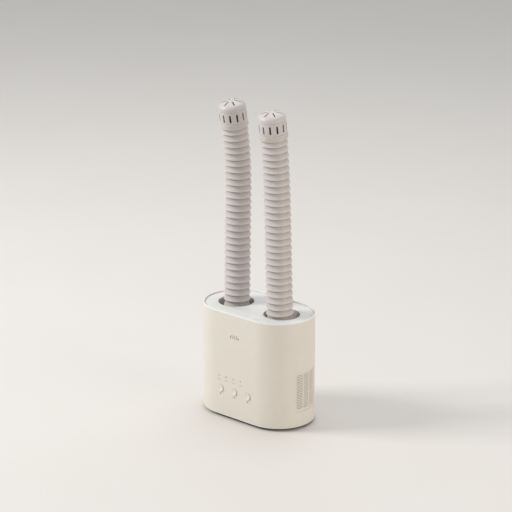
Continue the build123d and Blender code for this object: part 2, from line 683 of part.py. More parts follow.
def hose_profile(ribs):
    """Half of a ribbed tube's section: X is the radius and Y runs up the tube."""
    outside = [(HOSE_VALLEY, -SECTION_OVERRUN)]
    for rib in range(ribs):
        foot = rib * RIB_PITCH
        outside += [
            (HOSE_VALLEY, foot + RIB_GROOVE),
            (HOSE_CREST, foot + RIB_CREST_START),
            (HOSE_CREST - RIB_CREST_DROP, foot + RIB_CREST_END),
            (HOSE_VALLEY, foot + RIB_PITCH - RIB_GROOVE),
        ]
    outside.append((HOSE_VALLEY, ribs * RIB_PITCH + SECTION_OVERRUN))
    inside = [(radius - HOSE_WALL, height) for radius, height in reversed(outside)]
    Polyline(*outside, *inside, close=True)


SECTION_NAMES = ("hose_stretch", "hose_bend_lower", "hose_bend_middle", "hose_bend_upper")
SECTION_RIBS = (STRETCH_RIBS, BEND_RIBS, BEND_RIBS, BEND_RIBS)

for name, side in SIDES.items():
    well = Plane((side * WELL_X, 0, 0))

    with BuildPart() as well_liner:
        with BuildSketch(well.offset(WELL_FLOOR_TOP - WELL_FLOOR_THICKNESS)):
            Circle(WELL_RADIUS + WELL_WALL)
        extrude(amount=DECK_BOTTOM - WELL_FLOOR_TOP + WELL_FLOOR_THICKNESS)
        with BuildSketch(Plane.XY.offset(DECK_BOTTOM - WELL_WALL)):
            with Locations((side * WELL_X, 0)):
                Circle(WELL_RADIUS + WELL_FLANGE)
            casing_outline(SHELL_WALL + LEDGE_WIDTH + DECK_GAP, mode=Mode.INTERSECT)
        extrude(amount=WELL_WALL)
        with BuildSketch(well.offset(WELL_FLOOR_TOP)):
            Circle(WELL_RADIUS)
        extrude(amount=DECK_BOTTOM, mode=Mode.SUBTRACT)
        with BuildSketch(well.offset(WELL_FLOOR_TOP)):
            with PolarLocations(WELL_RADIUS, WELL_RIBS):
                Rectangle(*WELL_RIB)
        extrude(amount=DECK_BOTTOM - WELL_FLOOR_TOP - WELL_RIB_STOP)
        with BuildSketch(well.offset(0)):
            Circle(RISER_OUTER + SCREW_CLEARANCE)
        extrude(amount=WELL_FLOOR_TOP, mode=Mode.SUBTRACT)
    save(well_liner, f"{name}_well_liner")

    with BuildPart() as heater:
        heater_radius = RISER_RADIUS - HEATER_CLEARANCE
        with BuildSketch(well.offset(HEATER_BOTTOM)):
            with GridLocations(2 * heater_radius / (HEATER_FINS + 1), 0, HEATER_FINS, 1):
                Rectangle(HEATER_FIN, 2 * heater_radius)
            with GridLocations(0, heater_radius, 1, 2):
                Rectangle(2 * heater_radius, HEATER_BAR)
            Circle(heater_radius - HEATER_RIM / 2, mode=Mode.INTERSECT)
            with BuildSketch(Plane.XY):
                Circle(heater_radius)
                Circle(heater_radius - HEATER_RIM, mode=Mode.SUBTRACT)
        extrude(amount=HEATER_HEIGHT)
    save(heater, f"{name}_heater")

    with BuildPart() as hose_cuff:
        with BuildSketch(well.offset(WELL_FLOOR_TOP)):
            Circle(CUFF_OUTER)
            Circle(RISER_OUTER + SCREW_CLEARANCE, mode=Mode.SUBTRACT)
        extrude(amount=RISER_TOP - WELL_FLOOR_TOP)
        with BuildSketch(well.offset(RISER_TOP)):
            Circle(CUFF_OUTER)
            Circle(HOSE_VALLEY - HOSE_WALL, mode=Mode.SUBTRACT)
        extrude(amount=HOSE_BASE - RISER_TOP)
        with BuildSketch(well.offset(HOSE_BASE)):
            Circle(CUFF_OUTER)
            Circle(CUFF_INNER, mode=Mode.SUBTRACT)
        extrude(amount=CUFF_COLLAR)
    save(hose_cuff, f"{name}_hose_cuff")

    leans = HOSE_LEANS[name]
    foot = Vector(side * WELL_X, 0, HOSE_BASE)
    seat = Plane(origin=foot, z_dir=(0, 0, 1))
    for section, ribs, lean, next_lean in zip(SECTION_NAMES, SECTION_RIBS, leans, leans[1:]):
        along = lean_direction(lean)
        head = foot + along * (ribs * RIB_PITCH)
        top_face = Plane(origin=head, z_dir=lean_direction((lean + next_lean) / 2))
        with BuildPart() as hose_section:
            half_plane = Plane(origin=foot, x_dir=(1, 0, 0), z_dir=lean_direction(lean + 90))
            with BuildSketch(half_plane):
                with BuildLine():
                    hose_profile(ribs)
                make_face()
            revolve(axis=Axis(foot, along))
            split(bisect_by=seat, keep=Keep.TOP)
            split(bisect_by=top_face, keep=Keep.BOTTOM)
        save(hose_section, f"{name}_{section}")
        foot = head
        seat = top_face

    nozzle_along = lean_direction(leans[-1])
    nozzle = Plane(origin=foot, x_dir=(1, 0, 0), z_dir=nozzle_along)
    with BuildPart() as nozzle_collar:
        with BuildSketch(nozzle.offset(-SECTION_OVERRUN)):
            Circle(COLLAR_RADIUS)
            Circle(HOSE_VALLEY - HOSE_WALL, mode=Mode.SUBTRACT)
        extrude(amount=COLLAR_HEIGHT + SECTION_OVERRUN)
        split(bisect_by=seat, keep=Keep.TOP)
        top_rims = nozzle_collar.edges().group_by(Axis(foot, nozzle_along))[-1]
        fillet(top_rims.sort_by(Edge.length)[-1], radius=COLLAR_EDGE)
    save(nozzle_collar, f"{name}_nozzle_collar")

    with BuildPart() as nozzle_barrel:
        with BuildSketch(nozzle.offset(COLLAR_HEIGHT)):
            Circle(NOZZLE_RADIUS)
            Circle(NOZZLE_RADIUS - NOZZLE_WALL, mode=Mode.SUBTRACT)
        extrude(amount=BARREL_HEIGHT)
        slot_foot = COLLAR_HEIGHT + (BARREL_HEIGHT - NOZZLE_SLOT_HEIGHT) / 2
        with BuildSketch(nozzle.offset(slot_foot)):
            with PolarLocations(NOZZLE_RADIUS, NOZZLE_SLOTS):
                Rectangle(3 * NOZZLE_WALL, NOZZLE_SLOT_WIDTH)
        extrude(amount=NOZZLE_SLOT_HEIGHT, mode=Mode.SUBTRACT)
    save(nozzle_barrel, f"{name}_nozzle_barrel")

    with BuildPart() as nozzle_cap:
        inner = NOZZLE_RADIUS - NOZZLE_WALL
        base = COLLAR_HEIGHT + BARREL_HEIGHT
        skirt = base + CAP_SKIRT
        crown = base + CAP_HEIGHT
        crown_inside = crown - NOZZLE_WALL
        shoulder, shoulder_drop = CAP_SHOULDER
        with BuildSketch(Plane(origin=foot, x_dir=(1, 0, 0), z_dir=lean_direction(leans[-1] + 90))):
            with BuildLine():
                Line((inner, base), (NOZZLE_RADIUS, base))
                Line((NOZZLE_RADIUS, base), (NOZZLE_RADIUS, skirt))
                ThreePointArc((NOZZLE_RADIUS, skirt), (shoulder * NOZZLE_RADIUS, crown - shoulder_drop),
                              (0, crown))
                Line((0, crown), (0, crown_inside))
                ThreePointArc((0, crown_inside), (shoulder * inner, crown_inside - shoulder_drop),
                              (inner, skirt))
                Line((inner, skirt), (inner, base))
            make_face()
        revolve(axis=Axis(foot, nozzle_along))
        with BuildSketch(nozzle.offset(base)):
            with PolarLocations(NOZZLE_RADIUS / 2, NOZZLE_SLOTS // 2, start_angle=30):
                SlotOverall(NOZZLE_RADIUS / 2, CAP_SLOT_WIDTH)
        extrude(amount=2 * CAP_HEIGHT, mode=Mode.SUBTRACT)
    save(nozzle_cap, f"{name}_nozzle_cap")
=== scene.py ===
import bmesh
import bpy
import json
from math import cos, pi, radians, sin, tan
from mathutils import Matrix, Vector


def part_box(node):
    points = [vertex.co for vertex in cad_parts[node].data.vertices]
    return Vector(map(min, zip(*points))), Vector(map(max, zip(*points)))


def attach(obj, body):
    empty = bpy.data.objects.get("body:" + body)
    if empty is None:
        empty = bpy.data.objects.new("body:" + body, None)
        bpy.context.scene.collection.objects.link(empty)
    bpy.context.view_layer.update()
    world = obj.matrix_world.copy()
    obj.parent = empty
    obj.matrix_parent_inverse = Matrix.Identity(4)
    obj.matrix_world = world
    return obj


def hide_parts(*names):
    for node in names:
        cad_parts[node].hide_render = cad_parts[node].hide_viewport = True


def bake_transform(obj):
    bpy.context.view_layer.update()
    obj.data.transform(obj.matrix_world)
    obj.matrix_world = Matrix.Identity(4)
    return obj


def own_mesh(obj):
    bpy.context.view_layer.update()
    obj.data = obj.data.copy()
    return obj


# Boot dryer: a round-ended white casing with two wells in its top. A ribbed grey hose stands in each
# well and ends in a slotted nozzle. Metres: Z is up, the buttons face -Y, the floor is at zero.
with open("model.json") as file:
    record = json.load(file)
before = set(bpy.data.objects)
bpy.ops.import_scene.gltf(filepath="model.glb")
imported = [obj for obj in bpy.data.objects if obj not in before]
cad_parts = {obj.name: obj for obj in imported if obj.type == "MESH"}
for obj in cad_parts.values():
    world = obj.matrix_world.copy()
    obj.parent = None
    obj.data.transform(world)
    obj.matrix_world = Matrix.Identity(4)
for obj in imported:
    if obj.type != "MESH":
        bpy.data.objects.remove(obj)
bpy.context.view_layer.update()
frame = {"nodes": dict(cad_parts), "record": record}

# ---------------------------------------------------------------- sizes
shell_low, shell_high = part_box("body_shell")
deck_low, deck_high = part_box("top_deck")
tray_low, tray_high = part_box("base_tray")
HALF_DEPTH = shell_high.y
END_CENTRE = shell_high.x - HALF_DEPTH
SHELL_BOTTOM, SHELL_TOP = shell_low.z, shell_high.z
SHELL_WALL = 0.0025
DECK_INSET = shell_high.x - deck_high.x
DECK_TOP, DECK_BOTTOM = deck_high.z, deck_low.z
LEDGE_WIDTH = 0.002
LEDGE_HEIGHT = 0.0025
RIM_EDGE = 0.0013
HEM_EDGE = 0.0009
END_STEPS = 96
HOLE_REACH = 0.02

WELL_X = sum(corner.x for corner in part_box("right_hose_cuff")) / 2
WELL_RADIUS = 0.0312
WELL_WALL = 0.0016
WELL_FLOOR = 0.060
WELL_FLOOR_THICKNESS = 0.002
WELL_RIBS = 28
WELL_RIB_DEPTH = 0.0008
WELL_FLANGE = 0.0035
RISER_HOLE = 0.0243
RISER_TOP = 0.062
CUFF_STEP = 0.0006

TRAY_INSET = 0.010
TRAY_WALL = 0.0025
FOOT_RADIUS = 0.009
FOOT_STUD = 0.003
SCREW_HOLE = 0.0018
FEET = [(sx * (END_CENTRE + HALF_DEPTH / 3), sy * 0.0276) for sx in (-1, 1) for sy in (-1, 1)]

GRILLE_BOTTOM, GRILLE_TOP = 0.032, 0.105
GRILLE_WIDTH = 0.049
GRILLE_CORNER = 0.003
GRILLE_GAP = 0.00025
GRILLE_RECESS = 0.0004
GRILLE_THICKNESS = 0.0021
SLOT_PITCH = 0.003
SLOT_HEIGHT = 0.0009
SLOT_ROWS = 21
SLOT_COLUMNS = 3
SLOT_WIDTH = 0.01233
SLOT_RIB = 0.002

BUTTONS = {node: sum(corner.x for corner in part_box(node)) / 2
           for node in ("power_button", "mode_button", "timer_button")}
BUTTON_RADIUS = 0.0063
BUTTON_GAP = 0.0003
BUTTON_PROUD = 0.0018
BUTTON_HEIGHT = 0.054
BUTTON_DISH = 0.0009
BUTTON_FLANGE = 0.0015
BUTTON_FLANGE_THICKNESS = 0.0012
BUTTON_NUB = (0.002, 0.0006)
LIGHTS = [-0.0363 + 0.0163 * i for i in range(4)]
LIGHT_HEIGHT = 0.077
LIGHT_RADIUS = 0.0012
LIGHT_GAP = 0.0001
LIGHT_DOME = 0.0004
LIGHT_DEPTH = 0.0066
INK_DEPTH = 0.0003
INK_PROUD = 0.00004
MARK_MIDDLE = (-0.0006, 0.1547)
GLAND_HEIGHT = 0.024
GLAND_BORE = 0.0035
GLAND_NECK = 0.006
GLAND_FLANGE = 0.0085
GLAND_PROUD = 0.0018
DECK_EDGE = 0.0007
DECK_EDGE_STEPS = 128

RIB_PITCH = 0.0116
HOSE_CREST = 0.0232
HOSE_VALLEY = 0.0202
HOSE_WALL = 0.001
HOSE_BASE = 0.068
STRETCH_RIBS = 29
BEND_RIBS = 3
HOSE_NECK = 0.0008
# degrees off vertical, towards the front: the stretching part, three bending parts, the nozzle
HOSE_LEANS = {"left": (-1.0, 1.5, 5.0, 8.5, 11.0), "right": (2.2, 3.5, 5.0, 6.5, 8.0)}
# one rib, foot to head: share of the pitch, and share of the way from valley to crest
RIB_SHAPE = [(0.0, 0.0), (0.035, 0.0), (0.055, 0.16), (0.075, 0.52), (0.1, 0.84), (0.135, 0.98), (0.175, 1.0),
             (0.23, 0.96), (0.32, 0.84), (0.46, 0.63), (0.62, 0.4), (0.78, 0.19), (0.9, 0.06), (0.97, 0.0)]
RIB_INSIDE = [(0.035, 0.0), (0.135, 1.0), (0.4, 0.7)]
HOSE_STEPS = 72

NOZZLE_RADIUS = 0.0234
NOZZLE_WALL = 0.002
COLLAR_RADIUS = 0.0244
COLLAR_HEIGHT = 0.009
BARREL_HEIGHT = 0.022
CAP_HEIGHT = 0.014
CAP_SKIRT = 0.003
CAP_FULLNESS = 2.15
CAP_STEPS = 20
NOZZLE_SLOTS = 12
NOZZLE_SLOT = (0.0032, 0.014)
CAP_SLOT = (0.0026, 0.0117)

SIDES = {"left": -1, "right": 1}
UPRIGHT = Matrix.Identity(4)
SHARP_ANGLE = 32
CORNER_STEPS = 6

# ---------------------------------------------------------------- mesh building


def build(name, points, faces, sharp=SHARP_ANGLE):
    """A piece from points and faces, welded, with its faces outwards and smooth between sharp edges."""
    mesh = bpy.data.meshes.new(name)
    mesh.from_pydata(points, [], faces)
    work = bmesh.new()
    work.from_mesh(mesh)
    bmesh.ops.remove_doubles(work, verts=work.verts, dist=1e-7)
    bmesh.ops.recalc_face_normals(work, faces=work.faces)
    work.to_mesh(mesh)
    work.free()
    mesh.shade_smooth()
    mesh.set_sharp_from_angle(angle=radians(sharp))
    piece = bpy.data.objects.new(name, mesh)
    bpy.context.scene.collection.objects.link(piece)
    return piece


def rounded(corners, steps=5):
    """A closed outline from corners (x, y, radius), each turned into an arc."""
    outline = []
    for i, (x, y, radius) in enumerate(corners):
        corner = Vector((x, y))
        before = Vector(corners[i - 1][:2]) - corner
        after = Vector(corners[(i + 1) % len(corners)][:2]) - corner
        if radius == 0:
            outline.append((x, y))
            continue
        half = before.angle(after) / 2
        reach = min(radius / tan(half), 0.49 * before.length, 0.49 * after.length)
        toward = (before.normalized() + after.normalized()).normalized()
        centre = corner + toward * (reach / cos(half))
        start = corner + before.normalized() * reach - centre
        turn = start.angle_signed(corner + after.normalized() * reach - centre)
        for step in range(steps + 1):
            outline.append(tuple(centre + Matrix.Rotation(-turn * step / steps, 2) @ start))
    return outline


def turned(name, outline, place=UPRIGHT, steps=96):
    """Turns a closed outline of (radius, height) points about the placed Z axis."""
    points = [
        place @ Vector((radius * cos(2 * pi * step / steps), radius * sin(2 * pi * step / steps), height))
        for radius, height in outline
        for step in range(steps)
    ]
    return build(name, points, grid_faces(len(outline), steps))


def grid_faces(rows, count, closed=True):
    """Faces between rings of points. A closed grid joins its last ring to its first."""
    return [
        (
            row * count + step,
            row * count + (step + 1) % count,
            (row + 1) % rows * count + (step + 1) % count,
            (row + 1) % rows * count + step,
        )
        for row in range(rows if closed else rows - 1)
        for step in range(count)
    ]


def oval_ring(inset):
    """Points round the casing's outline, taken in by inset."""
    return [
        (end * END_CENTRE + (HALF_DEPTH - inset) * cos(angle), (HALF_DEPTH - inset) * sin(angle))
        for end, start in ((1, -pi / 2), (-1, pi / 2))
        for angle in (start + pi * step / END_STEPS for step in range(END_STEPS + 1))
    ]


def oval_sweep(name, outline, filled=False):
    """Carries (inset, height) points round the casing's outline. A filled one is closed by end faces."""
    points = [(x, y, height) for inset, height in outline for x, y in oval_ring(inset)]
    count = len(oval_ring(0))
    faces = grid_faces(len(outline), count, closed=not filled)
    if filled:
        faces += [tuple(range(count)), tuple(range(len(points) - count, len(points)))]
    return build(name, points, faces)


def prism(name, outline, place, low, high):
    """A closed outline drawn out along the placed Z axis."""
    count = len(outline)
    points = [place @ Vector((x, y, z)) for z in (low, high) for x, y in outline]
    faces = grid_faces(2, count, closed=False)
    faces += [tuple(range(count)), tuple(range(count, 2 * count))]
    return build(name, points, faces)


def facing(origin, direction):
    """The placing that turns +Z to a level direction, and keeps +Y upright."""
    outward, up = Vector(direction), Vector((0, 0, 1))
    turn = Matrix((up.cross(outward), up, outward)).transposed()
    return Matrix.Translation(origin) @ turn.to_4x4()


def merged(name, pieces):
    """Puts separate meshes into one piece."""
    work = bmesh.new()
    for piece in pieces:
        work.from_mesh(piece.data)
        bpy.data.objects.remove(piece)
    mesh = bpy.data.meshes.new(name)
    work.to_mesh(mesh)
    work.free()
    result = bpy.data.objects.new(name, mesh)
    bpy.context.scene.collection.objects.link(result)
    return result


def settle(piece):
    """Makes a piece's modifiers part of its mesh."""
    bpy.context.view_layer.update()
    graph = bpy.context.evaluated_depsgraph_get()
    piece.data = bpy.data.meshes.new_from_object(piece.evaluated_get(graph))
    piece.modifiers.clear()
    piece.data.shade_smooth()
    piece.data.set_sharp_from_angle(angle=radians(SHARP_ANGLE))
    return piece


def cut(piece, cutters, operation="DIFFERENCE"):
    """Cuts a piece by closed shapes, which are used up."""
    tool = merged("tool", cutters)
    cutting = piece.modifiers.new("cut", "BOOLEAN")
    cutting.object = tool
    cutting.operation = operation
    cutting.solver = "EXACT"
    settle(piece)
    bpy.data.objects.remove(tool)
    return piece


def rounded_box(width, height, radius, middle=(0, 0)):
    """The outline of a rounded rectangle about its middle."""
    turns = ((-1, -1), (1, -1), (1, 1), (-1, 1))
    corners = [(middle[0] + across * width / 2, middle[1] + up * height / 2, radius) for across, up in turns]
    return rounded(corners, CORNER_STEPS)


# ---------------------------------------------------------------- shader building


def put(tree, kind, inputs=(), **settings):
    """Adds a shader node. Its inputs are numbers, colours or the sockets that feed them."""
    node = tree.nodes.new(kind)
    for name, value in settings.items():
        setattr(node, name, value)
    for name, value in dict(inputs).items():
        if isinstance(value, bpy.types.NodeSocket):
            tree.links.new(value, node.inputs[name])
        else:
            node.inputs[name].default_value = value
    return node


def effect(name, inputs, outputs):
    """An empty shader node group with named inputs and outputs, and its two end nodes."""
    group = bpy.data.node_groups.new(name, "ShaderNodeTree")
    for label, value in inputs.items():
        socket = group.interface.new_socket(label, in_out="INPUT", socket_type="NodeSocketFloat")
        socket.default_value = value
    for label in outputs:
        group.interface.new_socket(label, in_out="OUTPUT", socket_type="NodeSocketFloat")
    return group, group.nodes.new("NodeGroupInput"), group.nodes.new("NodeGroupOutput")


def maths(tree, operation, first, second=0.0):
    """The result of one sum on values or sockets."""
    return put(tree, "ShaderNodeMath", {0: first, 1: second}, operation=operation).outputs[0]


def ramp(tree, value, low, high):
    """A smooth step from 0 at low to 1 at high."""
    inputs = {"Value": value, "From Min": low, "From Max": high}
    return put(tree, "ShaderNodeMapRange", inputs, interpolation_type="SMOOTHSTEP").outputs["Result"]


def place_of(tree):
    """Where a point is on the piece."""
    return put(tree, "ShaderNodeTexCoord").outputs["Object"]


def cloud(tree, scale, detail=3.0, where=None, rough=0.55):
    """A noise from 0 to 1."""
    inputs = {"Vector": where or place_of(tree), "Scale": scale, "Detail": detail, "Roughness": rough}
    return put(tree, "ShaderNodeTexNoise", inputs).outputs["Fac"]


def stretched(tree, x, y, z):
    """The place of a point, with each direction scaled."""
    inputs = {0: place_of(tree), 1: (x, y, z)}
    return put(tree, "ShaderNodeVectorMath", inputs, operation="MULTIPLY").outputs[0]


def height_of(tree):
    """How high a point is."""
    return put(tree, "ShaderNodeSeparateXYZ", {0: place_of(tree)}).outputs["Z"]


def times(tree, first, second):
    """The product of two values or sockets."""
    return maths(tree, "MULTIPLY", first, second)


def scaled(tree, value, factor, offset):
    """A value times a factor, plus an offset."""
    result = maths(tree, "MULTIPLY_ADD", value, factor)
    result.node.inputs[2].default_value = offset
    return result


def opposite(tree, value):
    """One minus a value."""
    return maths(tree, "SUBTRACT", 1.0, value)


def moulded_grain():
    """Fine spark-eroded grain with slow unevenness, as moulded plastic has."""
    group, start, end = effect("moulded_grain", {"Scale": 2500.0, "Unevenness": 30.0}, ["Grain", "Patches"])
    fine = cloud(group, start.outputs["Scale"], 4.0, rough=0.65)
    slow = cloud(group, start.outputs["Unevenness"], 2.0)
    pitted = maths(group, "SUBTRACT", fine, times(group, ramp(group, fine, 0.6, 0.75), 0.3))
    group.links.new(maths(group, "ADD", pitted, times(group, slow, 2.0)), end.inputs["Grain"])
    group.links.new(ramp(group, slow, 0.3, 0.7), end.inputs["Patches"])
    return group


def handling_marks():
    """Faint hairline scratches and finger smudges, each a mask."""
    group, start, end = effect("handling_marks", {"Scratches": 0.5, "Smudges": 0.5}, ["Scratch", "Smudge"])
    lines = 0.0
    for stretch in ((40, 900, 60), (700, 60, 90), (300, 500, 35)):
        thread = cloud(group, 1.0, 1.0, stretched(group, *stretch))
        near = maths(group, "ABSOLUTE", maths(group, "SUBTRACT", thread, 0.5))
        line = opposite(group, ramp(group, near, 0.0, 0.006))
        patch = ramp(group, cloud(group, 45.0, 1.0), 0.52, 0.62)
        lines = maths(group, "MAXIMUM", lines, times(group, line, patch))
    group.links.new(times(group, lines, start.outputs["Scratches"]), end.inputs["Scratch"])
    smear = ramp(group, cloud(group, 28.0, 4.0), 0.5, 0.72)
    group.links.new(times(group, smear, start.outputs["Smudges"]), end.inputs["Smudge"])
    return group


def settled_dust():
    """Dust that lies on what faces up, and near the floor."""
    group, start, end = effect("settled_dust", {"Amount": 0.3, "Floor Height": 0.012}, ["Dust"])
    normal = put(group, "ShaderNodeNewGeometry").outputs["Normal"]
    up = put(group, "ShaderNodeSeparateXYZ", {0: normal}).outputs["Z"]
    near_floor = opposite(group, ramp(group, height_of(group), 0.0, start.outputs["Floor Height"]))
    lies = maths(group, "MAXIMUM", ramp(group, up, 0.55, 1.0), near_floor)
    specks = ramp(group, cloud(group, 900.0, 5.0), 0.42, 0.7)
    drift = ramp(group, cloud(group, 22.0, 3.0), 0.3, 0.75)
    dust = times(group, times(group, lies, specks), drift)
    group.links.new(times(group, dust, start.outputs["Amount"]), end.inputs["Dust"])
    return group


EFFECTS = {"grain": moulded_grain(), "marks": handling_marks(), "dust": settled_dust()}


def use(tree, name, **inputs):
    """Places one of the effects in a material."""
    node = put(tree, "ShaderNodeGroup", node_tree=EFFECTS[name])
    for label, value in inputs.items():
        node.inputs[label.replace("_", " ")].default_value = value
    return node.outputs


def blended(tree, share, first, second):
    """A colour between two colours or colour sockets."""
    node = put(tree, "ShaderNodeMix", data_type="RGBA")
    for place, value in ((0, share), (6, first), (7, second)):
        if isinstance(value, bpy.types.NodeSocket):
            tree.links.new(value, node.inputs[place])
        else:
            node.inputs[place].default_value = value
    return node.outputs[2]


def tint(red, green, blue):
    """A colour from 0-255 values as a screen shows them."""
    def linear(value):
        value /= 255
        return value / 12.92 if value <= 0.04045 else ((value + 0.055) / 1.055) ** 2.4
    return linear(red), linear(green), linear(blue), 1.0


def shaded(colour, amount):
    """A colour made lighter or darker."""
    return tuple(min(1.0, part * amount) for part in colour[:3]) + (1.0,)


DUST_COLOUR = tint(188, 180, 168)
# colour and fade height of the painted highlight on the casing's rim and hem
EDGE_HIGHLIGHT_COLOUR = tint(236, 234, 229)
EDGE_HIGHLIGHT_FADE = 0.0032


def finish(name, colour, rough, bump=None, metallic=0.0, **fixed):
    """A material. colour and rough are values, or functions of its node tree; bump is (height, distance)."""
    material = bpy.data.materials.new(name)
    material.use_nodes = True
    tree = material.node_tree
    shader = tree.nodes["Principled BSDF"]
    shader.inputs["Metallic"].default_value = metallic
    for label, value in fixed.items():
        shader.inputs[label.replace("_", " ")].default_value = value
    tree.links.new(colour(tree), shader.inputs["Base Color"])
    tree.links.new(rough(tree), shader.inputs["Roughness"])
    if bump:
        height, distance = bump
        bumped = put(tree, "ShaderNodeBump", {"Height": height(tree), "Strength": 1.0, "Distance": distance})
        tree.links.new(bumped.outputs["Normal"], shader.inputs["Normal"])
    return material


def plastic(name, colour, rough, grain=2500.0, depth=0.00002, marks=(0.4, 0.4), dust=0.15, shift=0.04,
            groove=0.0, edges=None, floor_height=0.012, **fixed):
    """Moulded plastic: grain, slow colour shift, scratches, smudges, dust, and painted shade in its grooves.
    edges are the heights of a hem and a rim whose rounded edges get a painted highlight."""
    def colours(tree):
        grain_out = use(tree, "grain", Scale=grain)
        marks_out = use(tree, "marks", Scratches=marks[0], Smudges=marks[1])
        dust_out = use(tree, "dust", Amount=dust, Floor_Height=floor_height)
        base = blended(tree, grain_out["Patches"], shaded(colour, 1 - shift), shaded(colour, 1 + shift))
        base = blended(tree, times(tree, marks_out["Scratch"], 0.35), base, shaded(colour, 1.35))
        base = blended(tree, times(tree, marks_out["Smudge"], 0.12), base, shaded(colour, 0.8))
        # painted shade: darker towards the bottom of each groove, with a dark line in it, where the rib above
        # shades it
        if groove:
            depth_in = put(tree, "ShaderNodeAttribute", attribute_name="groove").outputs["Fac"]
            base = blended(tree, ramp(tree, depth_in, 0.0, 0.9), base, shaded(colour, 1 - groove / 2))
            groove_shade = times(tree, ramp(tree, depth_in, 0.86, 1.0), groove)
            base = blended(tree, groove_shade, base, shaded(colour, 0.3))
        # painted highlight: a paler rim and hem, standing for light caught on their rounded edges; it also
        # lightens the rim's shaded inner wall
        if edges:
            height = height_of(tree)
            below, above = edges
            rim_highlight = ramp(tree, height, above - EDGE_HIGHLIGHT_FADE, above - 0.6 * EDGE_HIGHLIGHT_FADE)
            hem_highlight = opposite(tree, ramp(tree, height, below + 0.2 * EDGE_HIGHLIGHT_FADE, below + 0.6 * EDGE_HIGHLIGHT_FADE))
            base = blended(tree, maths(tree, "MAXIMUM", rim_highlight, hem_highlight), base, EDGE_HIGHLIGHT_COLOUR)
        return blended(tree, dust_out["Dust"], base, DUST_COLOUR)

    def roughs(tree):
        grain_out = use(tree, "grain", Scale=grain)
        marks_out = use(tree, "marks", Scratches=marks[0], Smudges=marks[1])
        uneven = scaled(tree, grain_out["Patches"], 0.08, rough - 0.04)
        worn = maths(tree, "ADD", uneven, times(tree, marks_out["Scratch"], 0.2))
        return maths(tree, "SUBTRACT", worn, times(tree, marks_out["Smudge"], 0.1))

    def heights(tree):
        return use(tree, "grain", Scale=grain)["Grain"]

    return finish(name, colours, roughs, (heights, depth), **fixed)


def metal(name, colour, rough, stretch=(300, 300, 4000)):
    """Drawn or turned metal with fine lines and a few dull spots."""
    def heights(tree):
        return cloud(tree, 1.0, 3.0, stretched(tree, *stretch))

    def colours(tree):
        base = blended(tree, heights(tree), shaded(colour, 0.8), shaded(colour, 1.15))
        dull = times(tree, ramp(tree, cloud(tree, 500.0, 3.0), 0.55, 0.7), 0.2)
        return blended(tree, dull, base, shaded(colour, 0.45))

    def roughs(tree):
        return scaled(tree, heights(tree), 0.25, rough - 0.12)

    return finish(name, colours, roughs, (heights, 0.00001), metallic=1.0)


def cells(tree, scale, where=None, random=1.0, output="Distance", **settings):
    """Distance to the nearest of scattered points, or another output of the same pattern."""
    inputs = {"Vector": where or place_of(tree), "Scale": scale, "Randomness": random}
    return put(tree, "ShaderNodeTexVoronoi", inputs, **settings).outputs[output]


def open_foam(name, colour):
    """Open-cell filter foam: bright strands, with painted shade darkening the pores between them."""
    def pores(tree):
        return ramp(tree, cells(tree, 1400.0), 0.25, 0.6)

    def colours(tree):
        # painted shade in the pores
        return blended(tree, pores(tree), shaded(colour, 0.75), shaded(colour, 1.0))

    def roughs(tree):
        return maths(tree, "MAXIMUM", pores(tree), 0.85)

    return finish(name, colours, roughs, (pores, 0.0003))


def heater_block(name, colour):
    """Pressed ceramic with browned patches, and square air holes painted near black as painted shade."""
    def holes(tree):
        return ramp(tree, cells(tree, 330.0, stretched(tree, 1, 1, 0), 0.0, distance="CHEBYCHEV"), 0.3, 0.42)

    def colours(tree):
        base = blended(tree, cloud(tree, 90.0), shaded(colour, 0.7), shaded(colour, 1.1))
        # painted shade: the air holes are painted near black
        return blended(tree, holes(tree), shaded(colour, 0.1), base)

    def roughs(tree):
        return maths(tree, "MAXIMUM", holes(tree), 0.7)

    return finish(name, colours, roughs, (holes, 0.0005))


def circuit_board(name, colour):
    """Lacquered board with copper tracks under its colour, and tinned pads."""
    def tracks(tree):
        lines = cells(tree, 260.0, stretched(tree, 1, 0, 1), distance="MANHATTAN", feature="F2")
        return ramp(tree, lines, 0.75, 0.8)

    def pads(tree):
        return opposite(tree, ramp(tree, cells(tree, 190.0), 0.1, 0.14))

    def colours(tree):
        base = blended(tree, tracks(tree), colour, shaded(colour, 1.9))
        return blended(tree, pads(tree), base, tint(196, 198, 200))

    def roughs(tree):
        return scaled(tree, tracks(tree), 0.15, 0.28)

    return finish(name, colours, roughs, (tracks, 0.00005))


def mixed_parts(name):
    """Board parts whose colour changes from one part to the next."""
    def colours(tree):
        part = cells(tree, 45.0, output="Color")
        value = put(tree, "ShaderNodeSeparateXYZ", {0: part}).outputs["X"]
        base = blended(tree, ramp(tree, value, 0.45, 0.5), tint(38, 38, 42), tint(196, 164, 60))
        return blended(tree, ramp(tree, cloud(tree, 1500.0), 0.5, 0.8), base, tint(90, 90, 88))

    def roughs(tree):
        return maths(tree, "MAXIMUM", cloud(tree, 400.0), 0.4)

    return finish(name, colours, roughs, (lambda tree: cloud(tree, 2200.0), 0.00003))


def lens(name, colour):
    """Milky light pipe: faint swirls from the moulding."""
    def colours(tree):
        return blended(tree, cloud(tree, 1200.0, 2.0), shaded(colour, 0.85), shaded(colour, 1.1))

    def roughs(tree):
        return scaled(tree, cloud(tree, 3000.0), 0.1, 0.2)

    return finish(name, colours, roughs, (lambda tree: cloud(tree, 2500.0), 0.00001),
                  Transmission_Weight=0.25, IOR=1.49)


def printed(name, colour):
    """Screen-printed ink, a little thin in places."""
    def colours(tree):
        return blended(tree, ramp(tree, cloud(tree, 5000.0), 0.35, 0.75), colour, shaded(colour, 1.5))

    def roughs(tree):
        return maths(tree, "MAXIMUM", cloud(tree, 3000.0), 0.45)

    return finish(name, colours, roughs, (lambda tree: cloud(tree, 6000.0), 0.000005))


CASING_COLOUR = tint(227, 221, 210)
DECK_COLOUR = tint(229, 230, 227)
HOSE_COLOUR = tint(213, 206, 202)

